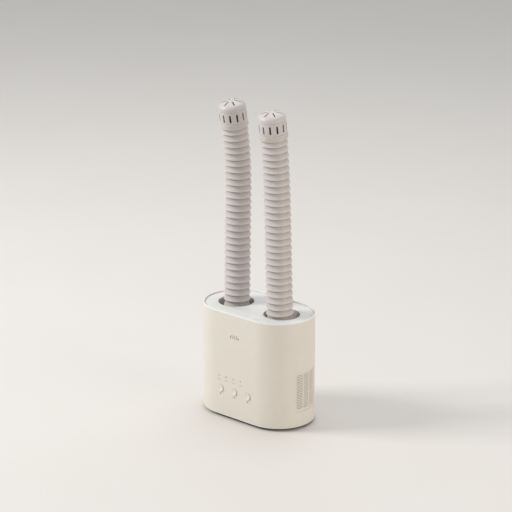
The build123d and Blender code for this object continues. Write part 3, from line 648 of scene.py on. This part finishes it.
FINISHES = {
    # casing_white carries a painted highlight along its rim and hem
    "casing_white": plastic("casing_white", CASING_COLOUR, 0.42, depth=0.000012, marks=(0.25, 0.4), dust=0.06,
                            shift=0.01, edges=(SHELL_BOTTOM, SHELL_TOP)),
    "deck_white": plastic("deck_white", DECK_COLOUR, 0.3, grain=3200.0, depth=0.000006, marks=(0.15, 0.0),
                          dust=0.0, shift=0.005),
    "well_grey": plastic("well_grey", tint(204, 200, 197), 0.5, depth=0.00002, dust=0.15),
    "base_dark": plastic("base_dark", tint(58, 56, 54), 0.62, grain=1500.0, depth=0.00006, dust=0.35,
                         floor_height=0.008),
    "foot_rubber": plastic("foot_rubber", tint(42, 42, 43), 0.82, grain=1100.0, depth=0.00008, dust=0.5,
                           floor_height=0.004),
    "duct_grey": plastic("duct_grey", tint(150, 150, 148), 0.55),
    "fan_black": plastic("fan_black", tint(40, 41, 44), 0.45, dust=0.4),
    "cutout_black": plastic("cutout_black", tint(34, 34, 36), 0.38),
    "button_white": plastic("button_white", tint(232, 226, 216), 0.34, grain=3600.0, depth=0.000006,
                            marks=(0.5, 0.8), dust=0.05, shift=0.015),
    "switch_black": plastic("switch_black", tint(30, 30, 32), 0.5),
    "led_white": plastic("led_white", tint(226, 224, 205), 0.3, grain=5000.0),
    "ribbon_grey": plastic("ribbon_grey", tint(170, 172, 176), 0.45, grain=5000.0),
    "gland_white": plastic("gland_white", tint(214, 208, 198), 0.5, grain=2000.0, depth=0.00003),
    "grille_white": plastic("grille_white", shaded(CASING_COLOUR, 0.98), 0.5, grain=3000.0, depth=0.00001,
                            dust=0.12, shift=0.015),
    "cuff_grey": plastic("cuff_grey", tint(150, 147, 144), 0.55, dust=0.2),
    # hose_grey carries painted shade in its grooves
    "hose_grey": plastic("hose_grey", HOSE_COLOUR, 0.46, grain=1800.0, depth=0.000025, marks=(0.2, 0.6),
                         dust=0.04, shift=0.02, groove=0.4),
    "nozzle_grey": plastic("nozzle_grey", tint(206, 199, 195), 0.4, grain=2600.0, depth=0.000015,
                           marks=(0.6, 0.5), dust=0.12),
    "screw_steel": metal("screw_steel", tint(168, 168, 166), 0.35),
    "motor_can": metal("motor_can", tint(176, 176, 172), 0.4, stretch=(60, 60, 3000)),
    "shaft_steel": metal("shaft_steel", tint(196, 196, 196), 0.25, stretch=(200, 200, 6000)),
    "filter_foam": open_foam("filter_foam", tint(242, 234, 222)),
    "heater_ceramic": heater_block("heater_ceramic", tint(206, 196, 178)),
    "board_green": circuit_board("board_green", tint(24, 84, 52)),
    "component_mix": mixed_parts("component_mix"),
    "light_clear": lens("light_clear", tint(198, 192, 182)),
}
MARK_INK = printed("mark_ink", tint(104, 97, 90))
LABEL_INK = printed("label_ink", tint(184, 177, 167))

SLOTS = {part["node"]: part["material_slot"] for part in frame["record"]["subparts"]}
for node, solid in frame["nodes"].items():
    solid.data.materials.clear()
    solid.data.materials.append(FINISHES[SLOTS[node]])


def dressed(piece, node):
    """Gives a new piece the finish of the CAD node that it stands for, and hides the node."""
    piece.data.materials.clear()
    piece.data.materials.append(FINISHES[SLOTS[node]])
    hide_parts(node)
    return piece


# ---------------------------------------------------------------- camera, light and floor
CAMERA_LENS = 140.6
CAMERA_AZIMUTH, CAMERA_ELEVATION = 41.43, 17.99
CAMERA_PLACE = (2.1472, -2.4403, 1.146 + SHELL_TOP)


def front_right_camera():
    """The view from above the front right corner, from a few metres away with a long lens."""
    data = bpy.data.cameras.new("camera")
    data.lens = CAMERA_LENS
    data.sensor_width = 36.0
    data.clip_end = 100.0
    camera = bpy.data.objects.new("camera", data)
    azimuth, elevation = radians(CAMERA_AZIMUTH), radians(CAMERA_ELEVATION)
    back = Vector((sin(azimuth) * cos(elevation), -cos(azimuth) * cos(elevation), sin(elevation)))
    camera.location = CAMERA_PLACE
    camera.rotation_mode = "QUATERNION"
    camera.rotation_quaternion = (-back).to_track_quat("-Z", "Y")
    bpy.context.scene.collection.objects.link(camera)
    bpy.context.scene.camera = camera


def soft_box(name, place, size, power, colour):
    """A large square studio light that points at the casing's top."""
    data = bpy.data.lights.new(name, "AREA")
    data.shape = "SQUARE"
    data.size = size
    data.energy = power
    data.color = colour
    light = bpy.data.objects.new(name, data)
    light.location = place
    light.rotation_mode = "QUATERNION"
    light.rotation_quaternion = (Vector((0, 0, 0.2)) - Vector(place)).to_track_quat("-Z", "Y")
    bpy.context.scene.collection.objects.link(light)


def pale_floor():
    """A wide plain floor."""
    reach = 30.0
    floor = build("floor", [(-reach, -reach, 0), (reach, -reach, 0), (reach, reach, 0), (-reach, reach, 0)],
                  [(0, 1, 2, 3)])

    def colours(tree):
        return blended(tree, cloud(tree, 3.0, 2.0), tint(224, 220, 214), tint(228, 225, 220))

    def roughs(tree):
        return scaled(tree, cloud(tree, 12.0), 0.1, 0.55)

    floor.data.materials.append(finish("floor_paint", colours, roughs))


def studio():
    """Soft light: a window-like box at the left, one above, a weak warm one at the right, a pale surround."""
    world = bpy.data.worlds.new("surround")
    world.use_nodes = True
    world.node_tree.nodes["Background"].inputs["Color"].default_value = (0.97, 0.98, 1.0, 1.0)
    world.node_tree.nodes["Background"].inputs["Strength"].default_value = 0.55
    bpy.context.scene.world = world
    soft_box("window_light", (-2.1, -1.8, 2.3), 1.1, 66.0, (1.0, 0.985, 0.965))
    soft_box("overhead_light", (-0.3, 0.9, 2.6), 1.8, 20.0, (0.97, 0.985, 1.0))
    soft_box("warm_fill", (2.0, 0.2, 0.6), 1.2, 9.5, (1.0, 0.85, 0.68))
    bpy.context.scene.view_settings.view_transform = "Standard"


front_right_camera()
studio()
pale_floor()

# ---------------------------------------------------------------- casing


def wall_normals(casing):
    """Sets the outer wall's shading to the true curve, so that the cut-outs leave no facets."""
    mesh = casing.data
    normals = [(0.0, 0.0, 0.0)] * len(mesh.loops)
    for face in mesh.polygons:
        for loop in face.loop_indices:
            point = mesh.vertices[mesh.loops[loop].vertex_index].co
            end = max(-END_CENTRE, min(END_CENTRE, point.x))
            outward = Vector((point.x - end, point.y, 0))
            on_wall = abs(outward.length - HALF_DEPTH) < 1e-5
            if on_wall and face.normal.dot(outward.normalized()) > 0.998:
                normals[loop] = tuple(outward.normalized())
    mesh.normals_split_custom_set(normals)


def hole_tool(place, radius, flare):
    """A round cutter whose mouth widens at the surface, for a hole with an eased edge."""
    wall = [(radius, -HOLE_REACH), (radius, -flare), (radius + 2 * flare, flare)]
    outline = [(0, -HOLE_REACH)] + wall + [(0, flare)]
    return turned("hole", outline, place, steps=64)


def front(x, z):
    """The placing for a round part on the front face."""
    return facing((x, -HALF_DEPTH, z), (0, -1, 0))


def grille_window(side, gap=0.0):
    """The rounded block that cuts, or trims, the opening in one end."""
    outline = rounded_box(GRILLE_WIDTH - 2 * gap, GRILLE_TOP - GRILLE_BOTTOM - 2 * gap, GRILLE_CORNER - gap)
    place = facing((0, 0, (GRILLE_TOP + GRILLE_BOTTOM) / 2), (side, 0, 0))
    return prism("window", outline, place, END_CENTRE + HALF_DEPTH / 2, END_CENTRE + HALF_DEPTH + 0.01)


def make_casing():
    """The outer shell, open above and below, with a ledge for the deck and its cut-outs."""
    inner = SHELL_WALL
    outline = rounded([
        (0, SHELL_BOTTOM, HEM_EDGE), (0, SHELL_TOP, RIM_EDGE), (inner, SHELL_TOP, 0.0007),
        (inner, DECK_BOTTOM, 0), (inner + LEDGE_WIDTH, DECK_BOTTOM, 0),
        (inner + LEDGE_WIDTH, DECK_BOTTOM - LEDGE_HEIGHT, 0), (inner, DECK_BOTTOM - 2 * LEDGE_HEIGHT, 0),
        (inner, SHELL_BOTTOM, 0.0004),
    ])
    casing = oval_sweep("casing", outline)
    tools = [hole_tool(front(x, BUTTON_HEIGHT), BUTTON_RADIUS + BUTTON_GAP, 0.0003) for x in BUTTONS.values()]
    tools += [hole_tool(front(x, LIGHT_HEIGHT), LIGHT_RADIUS + LIGHT_GAP, 0.00015) for x in LIGHTS]
    tools.append(hole_tool(facing((0, HALF_DEPTH, GLAND_HEIGHT), (0, 1, 0)), GLAND_NECK, 0.0003))
    tools += [grille_window(side) for side in SIDES.values()]
    cut(casing, tools)
    wall_normals(casing)
    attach(dressed(casing, "body_shell"), "root")


def make_deck():
    """The plate let into the rim, with eased edges round its outline and its two wells."""
    flat = bpy.data.curves.new("deck", "CURVE")
    flat.dimensions = "2D"
    flat.fill_mode = "BOTH"
    rings = [oval_ring(DECK_INSET)]
    turns = [2 * pi * i / DECK_EDGE_STEPS for i in range(DECK_EDGE_STEPS)]
    for side in SIDES.values():
        rings.append([(side * WELL_X + WELL_RADIUS * cos(turn), WELL_RADIUS * sin(turn)) for turn in turns])
    for ring in rings:
        spline = flat.splines.new("POLY")
        spline.points.add(len(ring) - 1)
        for point, (x, y) in zip(spline.points, ring):
            point.co = (x, y, 0, 1)
        spline.use_cyclic_u = True
    flat.extrude = (DECK_TOP - DECK_BOTTOM) / 2 - DECK_EDGE
    flat.bevel_depth = DECK_EDGE
    flat.bevel_resolution = 4
    flat.offset = -DECK_EDGE
    shape = bpy.data.objects.new("deck_shape", flat)
    bpy.context.scene.collection.objects.link(shape)
    bpy.context.view_layer.update()
    mesh = bpy.data.meshes.new_from_object(shape.evaluated_get(bpy.context.evaluated_depsgraph_get()))
    mesh.transform(Matrix.Translation((0, 0, (DECK_TOP + DECK_BOTTOM) / 2)))
    bpy.data.objects.remove(shape)
    points = [tuple(vertex.co) for vertex in mesh.vertices]
    deck = build("deck", points, [tuple(face.vertices) for face in mesh.polygons])
    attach(dressed(deck, "top_deck"), "root")


make_casing()
make_deck()

# ---------------------------------------------------------------- wells and cuffs


def make_well(name, side):
    """A cup with upright ribs inside, its flange under the deck."""
    top = DECK_BOTTOM
    steps = WELL_RIBS * 10
    inner, outer = WELL_RADIUS, WELL_RADIUS + WELL_WALL
    rib_top = top - 0.004
    flange = outer + WELL_FLANGE - WELL_WALL
    # radius, height, and how far the ribs stand in there
    outline = [
        (RISER_HOLE, WELL_FLOOR - WELL_FLOOR_THICKNESS, 0), (RISER_HOLE, WELL_FLOOR, 0),
        (inner - 0.001, WELL_FLOOR, 0), (inner, WELL_FLOOR + 0.001, 0), (inner, WELL_FLOOR + 0.003, 1),
        (inner, rib_top - 0.002, 1), (inner, rib_top, 0.2), (inner, rib_top + 0.0005, 0),
        (inner, top - 0.0003, 0), (inner + 0.0003, top, 0), (flange, top, 0), (flange, top - WELL_WALL, 0),
        (outer, top - WELL_WALL, 0), (outer, WELL_FLOOR - WELL_FLOOR_THICKNESS, 0),
    ]
    points = []
    for radius, height, ribbed in outline:
        for step in range(steps):
            angle = 2 * pi * step / steps
            crest = max(0.0, cos(WELL_RIBS * angle)) ** 2
            around = radius - ribbed * WELL_RIB_DEPTH * crest
            points.append((side * WELL_X + around * cos(angle), around * sin(angle), height))
    well = build(f"{name}_well", points, grid_faces(len(outline), steps))
    inside = SHELL_WALL + LEDGE_WIDTH + 0.0003
    trim = oval_sweep("trim", [(inside, 0.0), (inside, 0.3)], filled=True)
    cut(well, [trim], "INTERSECT")
    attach(dressed(well, f"{name}_well_liner"), "root")


def make_cuff(name, side):
    """The collar at the bottom of a well that holds the hose's foot."""
    low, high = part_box(f"{name}_hose_cuff")
    outer = (high.x - low.x) / 2
    grip, mouth = HOSE_VALLEY - HOSE_WALL, HOSE_CREST + 0.001
    step = outer - CUFF_STEP
    outline = rounded([
        (RISER_HOLE, low.z, 0), (outer, low.z, 0.0005), (outer, high.z - 0.0022, 0.0004),
        (step, high.z - 0.0016, 0.0003), (step, high.z, 0.0008), (mouth, high.z, 0.0008),
        (mouth, HOSE_BASE, 0.0004), (grip, HOSE_BASE, 0.0003), (grip, RISER_TOP, 0.0003),
        (RISER_HOLE, RISER_TOP, 0.0003),
    ], 4)
    cuff = turned(f"{name}_cuff", outline, Matrix.Translation((side * WELL_X, 0, 0)))
    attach(dressed(cuff, f"{name}_hose_cuff"), "root")


# ---------------------------------------------------------------- hoses


def lean_direction(angle):
    """A unit vector that leans from +Z towards the front by an angle in degrees."""
    return Vector((0, -sin(radians(angle)), cos(radians(angle))))


def hose_section(name, foot, ribs, lean, foot_tilt, head_tilt, neck=0.0):
    """A thin-walled ribbed tube whose first and last rings tilt to meet its neighbours.
    A neck is a short smaller end that slides into the next section."""
    length = ribs * RIB_PITCH
    rise = HOSE_CREST - HOSE_VALLEY
    outline = [(HOSE_VALLEY + share * rise, (rib + up) * RIB_PITCH, 1 - share)
               for rib in range(ribs) for up, share in RIB_SHAPE]
    outline.append((HOSE_VALLEY, length, 1.0))
    if neck:
        outline += [(HOSE_VALLEY - neck / 4, length, 1.0), (HOSE_VALLEY - neck / 4, length + neck, 1.0)]
    inside = [(HOSE_VALLEY - HOSE_WALL, 0.0, 1.0)]
    inside += [(HOSE_VALLEY - HOSE_WALL + share * rise, (rib + up) * RIB_PITCH, 1.0)
               for rib in range(ribs) for up, share in RIB_INSIDE]
    inside.append((HOSE_VALLEY - HOSE_WALL, length + neck, 1.0))
    outline += reversed(inside)
    points, depths = [], []
    for radius, height, depth in outline:
        tilt = lean + (foot_tilt - lean) * max(0.0, 1 - height / RIB_PITCH)
        tilt += (head_tilt - lean) * max(0.0, 1 - max(0.0, length - height) / RIB_PITCH)
        turn = Matrix.Rotation(radians(tilt), 3, "X")
        centre = foot + lean_direction(lean) * height
        for step in range(HOSE_STEPS):
            angle = 2 * pi * step / HOSE_STEPS
            points.append(centre + turn @ Vector((radius * cos(angle), radius * sin(angle), 0)))
            depths.append(depth)
    hose = build(name, points, grid_faces(len(outline), HOSE_STEPS), sharp=60)
    # how deep into a groove each ring lies; the hose material paints shade from it
    groove = hose.data.attributes.new("groove", "FLOAT", "POINT")
    groove.data.foreach_set("value", depths)
    return hose


def make_hose(name, side):
    """One stretching part and three bending parts, built one after the other; gives back where the last one
    ends.
    """
    leans = HOSE_LEANS[name]
    foot = Vector((side * WELL_X, 0, HOSE_BASE))
    along = lean_direction(leans[0])
    length = STRETCH_RIBS * RIB_PITCH
    head_tilt = (leans[0] + leans[1]) / 2
    stretch = hose_section(f"{name}_hose", foot, STRETCH_RIBS, leans[0], 0.0, head_tilt, HOSE_NECK)
    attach(dressed(stretch, f"{name}_hose_stretch"), "root")
    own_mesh(stretch)
    foot = foot + along * length
    for i, part in enumerate(("lower", "middle", "upper"), 1):
        tilts = (leans[i - 1] + leans[i]) / 2, (leans[i] + leans[i + 1]) / 2
        bend = hose_section(f"{name}_hose_{part}", foot, BEND_RIBS, leans[i], *tilts)
        head = foot + lean_direction(leans[i]) * BEND_RIBS * RIB_PITCH
        dressed(bend, f"{name}_hose_bend_{part}")
        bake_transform(bend)
        foot = head
    return foot


# ---------------------------------------------------------------- nozzles


def make_nozzle(name, foot):
    """A collar, a barrel with upright slots and a domed cap with slots round its crown."""
    place = Matrix.Translation(foot) @ Matrix.Rotation(radians(HOSE_LEANS[name][-1]), 4, "X")
    inner = HOSE_VALLEY - HOSE_WALL
    grooves = []
    for height in (0.0032, 0.0058):
        grooves += [(COLLAR_RADIUS, height - 0.0004, 0.0001), (COLLAR_RADIUS - 0.0005, height, 0.0001),
                    (COLLAR_RADIUS, height + 0.0004, 0.0001)]
    collar = turned(f"{name}_collar", rounded([
        (inner, -0.0003, 0), (COLLAR_RADIUS - 0.0008, -0.0003, 0.0005), (COLLAR_RADIUS, 0.0008, 0.0004),
        *grooves, (COLLAR_RADIUS, COLLAR_HEIGHT, 0.001), (inner, COLLAR_HEIGHT, 0)], 3), place)
    barrel_foot, barrel_head = COLLAR_HEIGHT, COLLAR_HEIGHT + BARREL_HEIGHT
    hollow = NOZZLE_RADIUS - NOZZLE_WALL
    barrel = turned(f"{name}_barrel", rounded([
        (hollow, barrel_foot, 0), (NOZZLE_RADIUS, barrel_foot, 0.0002),
        (NOZZLE_RADIUS, barrel_head, 0.0004), (hollow, barrel_head, 0.0002)], 3), place)
    width, height = NOZZLE_SLOT
    slot = rounded_box(width, height, width / 2 - 1e-5, (0, (barrel_foot + barrel_head) / 2))
    tools = []
    for i in range(NOZZLE_SLOTS):
        turn = place @ Matrix.Rotation(2 * pi * i / NOZZLE_SLOTS, 4, "Z")
        tools.append(prism("slot", slot, turn @ Matrix.Rotation(pi / 2, 4, "X"), 0.015, 0.03))
    cut(barrel, tools)
    shoulder = barrel_head + CAP_SKIRT
    crown = CAP_HEIGHT - CAP_SKIRT
    seam = NOZZLE_RADIUS - 0.0006
    outline = [(hollow, barrel_head), (seam, barrel_head), (seam, barrel_head + 0.0004),
               (NOZZLE_RADIUS, barrel_head + 0.0006)]
    for radius, drop, order in ((NOZZLE_RADIUS, 0.0, 1), (hollow, NOZZLE_WALL, -1)):
        arc = []
        for step in range(CAP_STEPS + 1):
            share = sin(pi / 2 * (1 - step / CAP_STEPS))
            up = (1 - share ** CAP_FULLNESS) ** (1 / CAP_FULLNESS)
            arc.append((radius * share, shoulder + (crown - drop) * up))
        outline += arc[::order]
    cap = turned(f"{name}_cap", outline, place)
    width, length = CAP_SLOT
    slot = rounded_box(length, width, width / 2 - 1e-5, (NOZZLE_RADIUS / 2, 0))
    tools = []
    cap_slots = NOZZLE_SLOTS // 2
    for i in range(cap_slots):
        turn = place @ Matrix.Rotation(2 * pi * i / cap_slots + pi / 6, 4, "Z")
        tools.append(prism("slot", slot, turn, barrel_head + 0.001, barrel_head + 2 * CAP_HEIGHT))
    cut(cap, tools)
    for part, piece in (("collar", collar), ("barrel", barrel), ("cap", cap)):
        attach(dressed(piece, f"{name}_nozzle_{part}"), f"{name}_nozzle")


# ---------------------------------------------------------------- grilles


def make_grille(name, side):
    """A slotted panel that follows the casing's round end."""
    outer = HALF_DEPTH - GRILLE_RECESS
    middle = (GRILLE_TOP + GRILLE_BOTTOM) / 2
    across = [-GRILLE_WIDTH * 0.55]
    for column in range(SLOT_COLUMNS):
        left = (column - SLOT_COLUMNS / 2) * (SLOT_WIDTH + SLOT_RIB) + SLOT_RIB / 2
        across += [left + SLOT_WIDTH * i / 6 for i in range(7)]
    across.append(GRILLE_WIDTH * 0.55)
    up = [middle - 0.04]
    for row in range(SLOT_ROWS):
        low = middle + (row - (SLOT_ROWS - 1) / 2) * SLOT_PITCH - SLOT_HEIGHT / 2
        up += [low, low + SLOT_HEIGHT]
    up.append(middle + 0.04)
    points = []
    for height in up:
        for y in across:
            points.append((side * (END_CENTRE + (outer ** 2 - y ** 2) ** 0.5), y, height))
    columns = len(across)
    faces = []
    for row in range(len(up) - 1):
        for column in range(columns - 1):
            slotted = row % 2 == 1 and column > 0 and column % 7 != 0 and column < columns - 2
            if not slotted:
                low = row * columns + column
                faces.append((low, low + 1, low + columns + 1, low + columns))
    grille = build(f"{name}_grille", points, faces)
    sheet = grille.modifiers.new("thickness", "SOLIDIFY")
    sheet.thickness = GRILLE_THICKNESS
    sheet.offset = -1.0
    settle(grille)
    cut(grille, [grille_window(side, GRILLE_GAP)], "INTERSECT")
    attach(dressed(grille, f"{name}_intake_grille"), "root")


# ---------------------------------------------------------------- controls


def make_button(node, x):
    """A dished push button with a rim, and its flange behind the wall."""
    flange = BUTTON_RADIUS + BUTTON_FLANGE
    front_side = -SHELL_WALL - BUTTON_GAP
    back = front_side - BUTTON_FLANGE_THICKNESS
    nub, nub_height = BUTTON_NUB
    outline = rounded([
        (0, back - nub_height, 0), (nub, back - nub_height, 0.0002), (nub, back, 0), (flange, back, 0.0002),
        (flange, front_side, 0.0002), (BUTTON_RADIUS, front_side, 0), (BUTTON_RADIUS, BUTTON_PROUD, 0.0006),
        (BUTTON_RADIUS - 0.0009, BUTTON_PROUD, 0.0004),
    ], 4)
    bowl = BUTTON_RADIUS - 0.0012
    for i in range(11):
        share = 1 - i / 10
        outline.append((bowl * share, BUTTON_PROUD - 0.0001 - BUTTON_DISH * (1 - share ** 2)))
    button = turned(node.replace("_button", "_key"), outline, front(x, BUTTON_HEIGHT), steps=72)
    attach(dressed(button, node), node)


def make_lights():
    """Four light pipes with slightly domed ends."""
    flange = 2 * LIGHT_RADIUS
    flange_front, flange_back = -SHELL_WALL - 0.0001, -SHELL_WALL - 0.0011
    depth = SHELL_WALL + LIGHT_DEPTH
    outline = rounded([(0, -depth, 0), (LIGHT_RADIUS, -depth, 0.0001), (LIGHT_RADIUS, flange_back, 0),
                       (flange, flange_back, 0.0001), (flange, flange_front, 0.0001),
                       (LIGHT_RADIUS, flange_front, 0), (LIGHT_RADIUS, -LIGHT_DOME, 0.0001)], 2)
    for i in range(1, 7):
        turn = pi / 2 * i / 6
        outline.append((LIGHT_RADIUS * cos(turn), LIGHT_DOME * (sin(turn) - 1)))
    pipes = [turned("pipe", outline, front(x, LIGHT_HEIGHT), steps=32) for x in LIGHTS]
    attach(dressed(merged("indicator_lenses", pipes), "indicator_light_pipes"), "root")


def ink_line(points, width):
    """A flat stroke through front-face points."""
    route = [Vector(point) for point in points]
    left, right = [], []
    for i, point in enumerate(route):
        along = (route[min(i + 1, len(route) - 1)] - route[max(i - 1, 0)]).normalized()
        across = Vector((-along.y, along.x)) * width / 2
        left.append(point + across)
        right.append(point - across)
    start, end = route[0] - route[1], route[-1] - route[-2]
    caps = []
    for tip, outward in ((route[-1], end), (route[0], start)):
        turn = [Matrix.Rotation(radians(angle), 2) @ outward.normalized() for angle in (60, 30, 0, -30, -60)]
        caps.append([tip + step * width / 2 for step in turn])
    outline = [tuple(p) for p in left + caps[0] + right[::-1] + caps[1]]
    return prism("ink", outline, front(0, 0), -INK_DEPTH, INK_PROUD)


def ink_ring(x, z, radius, width):
    """A printed ring."""
    inner, outer = radius - width / 2, radius + width / 2
    outline = [(inner, -INK_DEPTH), (outer, -INK_DEPTH), (outer, INK_PROUD), (inner, INK_PROUD)]
    return turned("ink", outline, front(x, z), steps=40)


def ink_wave(x, z, height, swing, width, steps):
    """A printed upright wave about its middle."""
    wave = [(x + swing * sin(2 * pi * k / steps), z + height * (k / steps - 0.5)) for k in range(steps + 1)]
    return ink_line(wave, width)


def make_marks():
    """A plain warm-air sign on the front, and small plain signs by the lights and buttons."""
    middle_x, middle_z = MARK_MIDDLE
    signs = [ink_wave(middle_x + i * 0.005, middle_z, 0.0064, 0.0011, 0.0011, 14) for i in (-1, 0, 1)]
    for x in (middle_x - 0.0088, middle_x + 0.0088):
        signs.append(ink_line([(x, middle_z - 0.0032), (x, middle_z + 0.0002)], 0.0013))
    front_mark = merged("front_mark", signs)
    label = LIGHT_HEIGHT - 0.0066
    signs = []
    for x, half in zip((-0.037, -0.0195, -0.0028, 0.0137), (0.0045, 0.004, 0.0046, 0.005)):
        signs.append(ink_line([(x - half, label), (x + half, label)], 0.0007))
        signs.append(ink_line([(x - half * 0.6, label - 0.0014), (x + half * 0.6, label - 0.0014)], 0.0006))
    light_marks = merged("light_marks", signs)
    below = BUTTON_HEIGHT - 0.0104
    power, mode, timer = BUTTONS.values()
    signs = [ink_ring(power, below, 0.0014, 0.0005),
             ink_line([(power, below + 0.0006), (power, below + 0.0022)], 0.0006)]
    signs += [ink_wave(mode + i * 0.0016, below, 0.003, 0.0004, 0.0005, 10) for i in (-1, 0, 1)]
    signs.append(ink_ring(timer, below, 0.0017, 0.0005))
    signs.append(ink_line([(timer, below + 0.001), (timer, below), (timer + 0.0009, below - 0.0003)], 0.0005))
    button_marks = merged("button_marks", signs)
    for piece, ink in ((front_mark, MARK_INK), (light_marks, LABEL_INK), (button_marks, MARK_INK)):
        piece.data.materials.append(ink)
        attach(piece, "root")


# ---------------------------------------------------------------- base, feet and gland


def pan_hole(x, y, radius):
    """A cutter for an upright hole in the tray."""
    outline = [(0, 0.0), (radius, 0.0), (radius, HOLE_REACH), (0, HOLE_REACH)]
    return turned("hole", outline, Matrix.Translation((x, y, 0)), steps=32)


def make_base():
    """The recessed dark tray under the casing, with foot seats, screw wells and a blank plate."""
    low, high = tray_low.z, tray_high.z
    step = high - TRAY_WALL
    rim = SHELL_WALL + 0.0004
    tray = oval_sweep("base_pan", rounded([
        (TRAY_INSET + 0.012, low, 0), (TRAY_INSET + 0.0042, low, 0.0002),
        (TRAY_INSET + 0.0036, low + 0.0006, 0.0002), (TRAY_INSET + 0.0024, low + 0.0006, 0.0002),
        (TRAY_INSET + 0.0018, low, 0.0002),
        (TRAY_INSET, low, 0.0009), (TRAY_INSET, step, 0.0004), (rim, step, 0.0004), (rim, high, 0.0004),
        (TRAY_INSET + TRAY_WALL, high, 0.0003), (TRAY_INSET + TRAY_WALL, low + TRAY_WALL, 0),
        (TRAY_INSET + 0.012, low + TRAY_WALL, 0)], 3))
    inside = TRAY_INSET + 0.0118
    cut(tray, [oval_sweep("pan_floor", [(inside, low), (inside, low + TRAY_WALL)], filled=True)], "UNION")
    tools = [pan_hole(x, y, FOOT_STUD) for x, y in FEET]
    screws = frame["nodes"]["base_screws"].data.vertices
    for sx in (-1, 1):
        for sy in (-1, 1):
            near = [v.co for v in screws if v.co.x * sx > 0 and v.co.y * sy > 0]
            x, y = (sum(getattr(co, axis) for co in near) / len(near) for axis in "xy")
            tools.append(pan_hole(x, y, SCREW_HOLE))
    plate = rounded_box(0.046, 0.024, 0.002)
    edge = rounded_box(0.0476, 0.0256, 0.0028)
    recess = prism("plate_edge", edge, UPRIGHT, low - 0.001, low + 0.0004)
    cut(tray, tools + [recess])
    cut(tray, [prism("plate", plate, UPRIGHT, low + 0.0001, low + 0.001)], "UNION")
    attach(dressed(tray, "base_tray"), "root")


def make_feet():
    """Four rubber feet with a ringed sole and a stud that holds each in the tray."""
    feet = []
    for x, y in FEET:
        sole = [(0, 0.0, 0)]
        for i in range(3):
            radius = 0.0028 + 0.0018 * i
            sole += [(radius - 0.0004, 0.0, 0.0001), (radius - 0.0002, 0.0005, 0.0001),
                     (radius + 0.0002, 0.0005, 0.0001), (radius + 0.0004, 0.0, 0.0001)]
        outline = rounded(sole + [(FOOT_RADIUS, 0.0, 0.0008), (FOOT_RADIUS, tray_low.z, 0.0003),
                                  (FOOT_STUD, tray_low.z, 0), (FOOT_STUD, tray_low.z + 0.005, 0.0005),
                                  (0, tray_low.z + 0.005, 0)], 4)
        feet.append(turned("foot", outline, Matrix.Translation((x, y, 0)), steps=64))
    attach(dressed(merged("foot_pads", feet), "rubber_feet"), "root")


def make_gland():
    """The round inlet for the mains lead: ringed flange, neck through the wall and a nut inside."""
    proud = GLAND_PROUD
    face = []
    for radius in (0.0068, 0.0054):
        face += [(radius + 0.0003, proud, 0.0001), (radius, proud - 0.0004, 0.0001),
                 (radius - 0.0003, proud, 0.0001)]
    outline = rounded([
        (GLAND_BORE, -0.0041, 0.0002), (GLAND_FLANGE, -0.0041, 0.0003), (GLAND_FLANGE, -SHELL_WALL, 0.0002),
        (GLAND_NECK, -SHELL_WALL, 0), (GLAND_NECK, 0, 0), (GLAND_FLANGE, 0, 0.0002),
        (GLAND_FLANGE, proud, 0.0009), *face, (GLAND_BORE, proud, 0.0004)], 4)
    gland = turned("lead_inlet", outline, facing((0, HALF_DEPTH, GLAND_HEIGHT), (0, 1, 0)), steps=64)
    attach(dressed(gland, "cord_gland"), "root")


for name, side in SIDES.items():
    make_well(name, side)
    make_cuff(name, side)
    make_nozzle(name, make_hose(name, side))
    make_grille(name, side)
for node, x in BUTTONS.items():
    make_button(node, x)
make_lights()
make_marks()
make_base()
make_feet()
make_gland()
